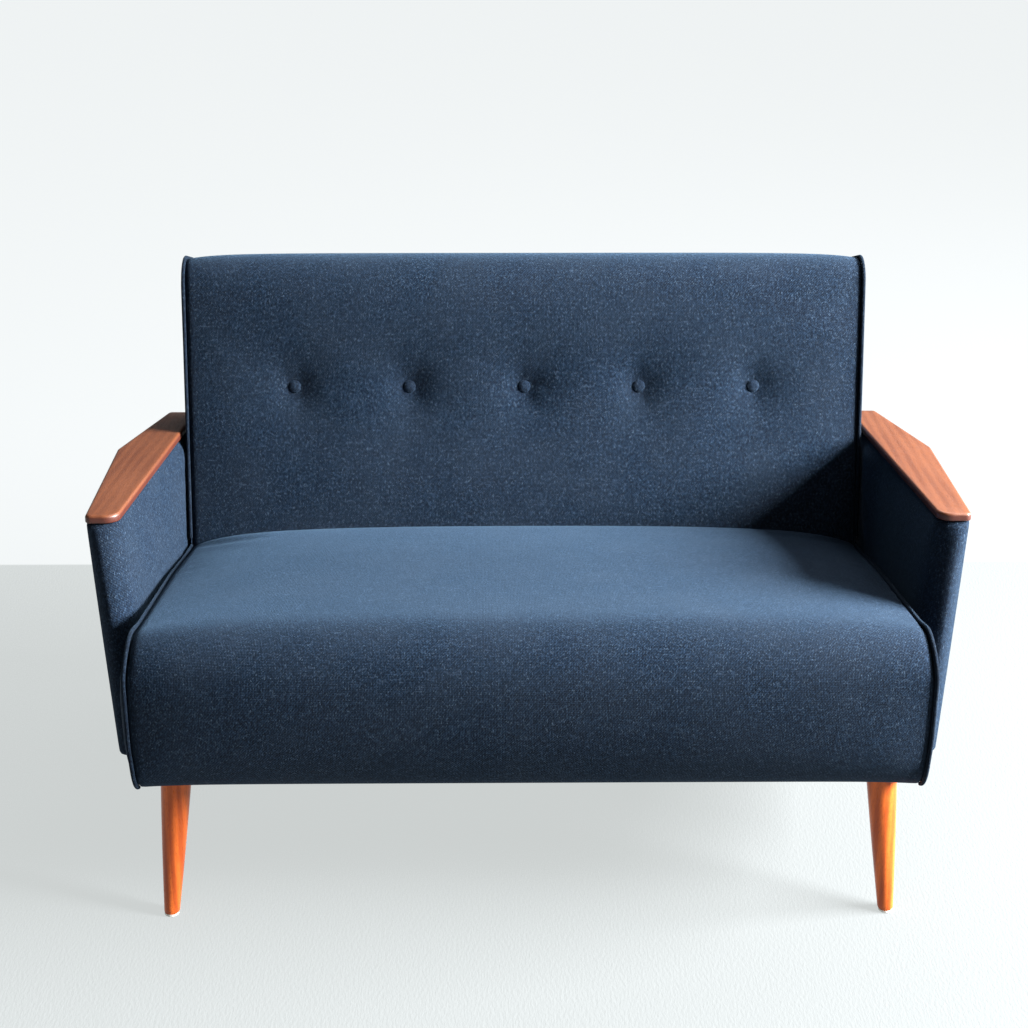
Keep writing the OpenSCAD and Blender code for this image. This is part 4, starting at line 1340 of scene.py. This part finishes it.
def makeDustCover():
    look = dustLook
    highU = rearU(0) - 0.008
    legPlaces = [(s * legLook["topX"], u) for s in (-1, 1) for u in (legLook["frontU"], legLook["rearU"])]

    def lined(low, high, cuts):
        marks = sorted({low, high, *[c for c in cuts if low < c < high]})
        parts = []
        for a, b in zip(marks, marks[1:]):
            count = max(1, int(round((b - a) / look["step"])))
            parts.append(np.linspace(a, b, count + 1)[:-1])
        return np.append(np.concatenate(parts), high)

    sides = (-look["window"], look["window"])
    xs = lined(-look["halfX"], look["halfX"], [x + d for x, _ in legPlaces for d in sides])
    us = lined(look["lowU"], highU, [u + d for _, u in legPlaces for d in sides])

    def place(x, u):
        inset = min(look["halfX"] - abs(x), u - look["lowU"], highU - u)
        clear = min(max(abs(x - px), abs(u - pu)) - look["window"] for px, pu in legPlaces)
        loose = smoothStep(0.03, 0.16, inset) * smoothStep(0.02, 0.12, clear)
        ripple = 0.0006 * math.sin(x * 41 + u * 13) * smoothStep(0.012, 0.06, inset)
        return x, u, look["w"] - look["sag"] * float(loose) - abs(float(ripple))

    def hole(x, u):
        return any(abs(x - px) < look["window"] and abs(u - pu) < look["window"] for px, pu in legPlaces)

    sheet = gridSheet("dustCover", xs, us, place, hole, cambric)
    thickened(sheet, look["thickness"])
    keep(sheet, ["dust_cover"])
    width, length = 2 * look["halfX"], highU - look["lowU"]
    width * length - 4 * (2 * look["window"]) ** 2
    # staples all round, one row a little inside the edge
    e, w = look["edge"], look["w"] - 0.0006
    edgeX, lowU, rearEdge = look["halfX"] - e, look["lowU"] + e, highU - 0.022
    corner = [(-edgeX, lowU), (edgeX, lowU), (edgeX, rearEdge), (-edgeX, rearEdge)]
    paths = []
    for a, b in zip(corner, corner[1:] + corner[:1]):
        line = np.linspace(a, b, 40)[1:-1]
        clear = [not hole(x, u) and not any(max(abs(x - px), abs(u - pu)) < look["window"] + 0.006
                                            for px, pu in legPlaces) for x, u in line]
        run = []
        for (x, u), free in zip(line, clear):
            if free:
                run.append((x, u, w))
                continue
            if len(run) > 3:
                paths.append(placed(run))
            run = []
        if len(run) > 3:
            paths.append(placed(run))
    shape = stapleShape()
    down = placed([(0, 0, -1)])[0] - placed([(0, 0, 0)])[0]
    row = runTree(pathObject("coverStaples", paths), setInRow,
                  {"Spacing": look["stapleSpacing"], "Piece": shape, "Facing": tuple(down), "Wander": 0.16,
                   "Finish": zincSteel, "Seed": 11})
    bpy.data.objects.remove(shape)
    keep(row)


makeDustCover()
print("outside back, stitches, dust cover and staples ready")

# finishes for the frame, springs and screws, which stay as they are
nodeFinishes = {
    "timber": (timber, ["front_rail", "rear_rail", "left_side_rail", "right_side_rail", "centre_rail",
                        "spring_rail", "corner_blocks", "left_back_post", "right_back_post",
                        "back_top_rail", "back_lower_rail", "left_arm_frame", "right_arm_frame",
                        "left_arm_top_rail", "right_arm_top_rail", "button_toggles"]),
    "spring_steel": (springSteel, ["seat_springs"]),
    "zinc_steel": (zincSteel, ["spring_clips", "arm_bolts", "arm_bolt_washers", "arm_tee_nuts", "leg_plates",
                               "hanger_bolts", "plate_screws"]),
    "brass_screw": (brassMetal, ["cap_screws"]),
    "hessian": (hessian, ["seat_hessian", "back_hessian"]),
    "webbing": (webbing, ["back_webbing"]),
    "twine": (twine, ["button_twines"]),
    "nylon": (nylon, ["leg_glides"]),
}
for material, names in nodeFinishes.values():
    for name in names:
        slots = frame["nodes"][name].material_slots
        if not slots:
            frame["nodes"][name].data.materials.append(material)
        for s in slots:
            s.material = material
print("frame finishes ready")
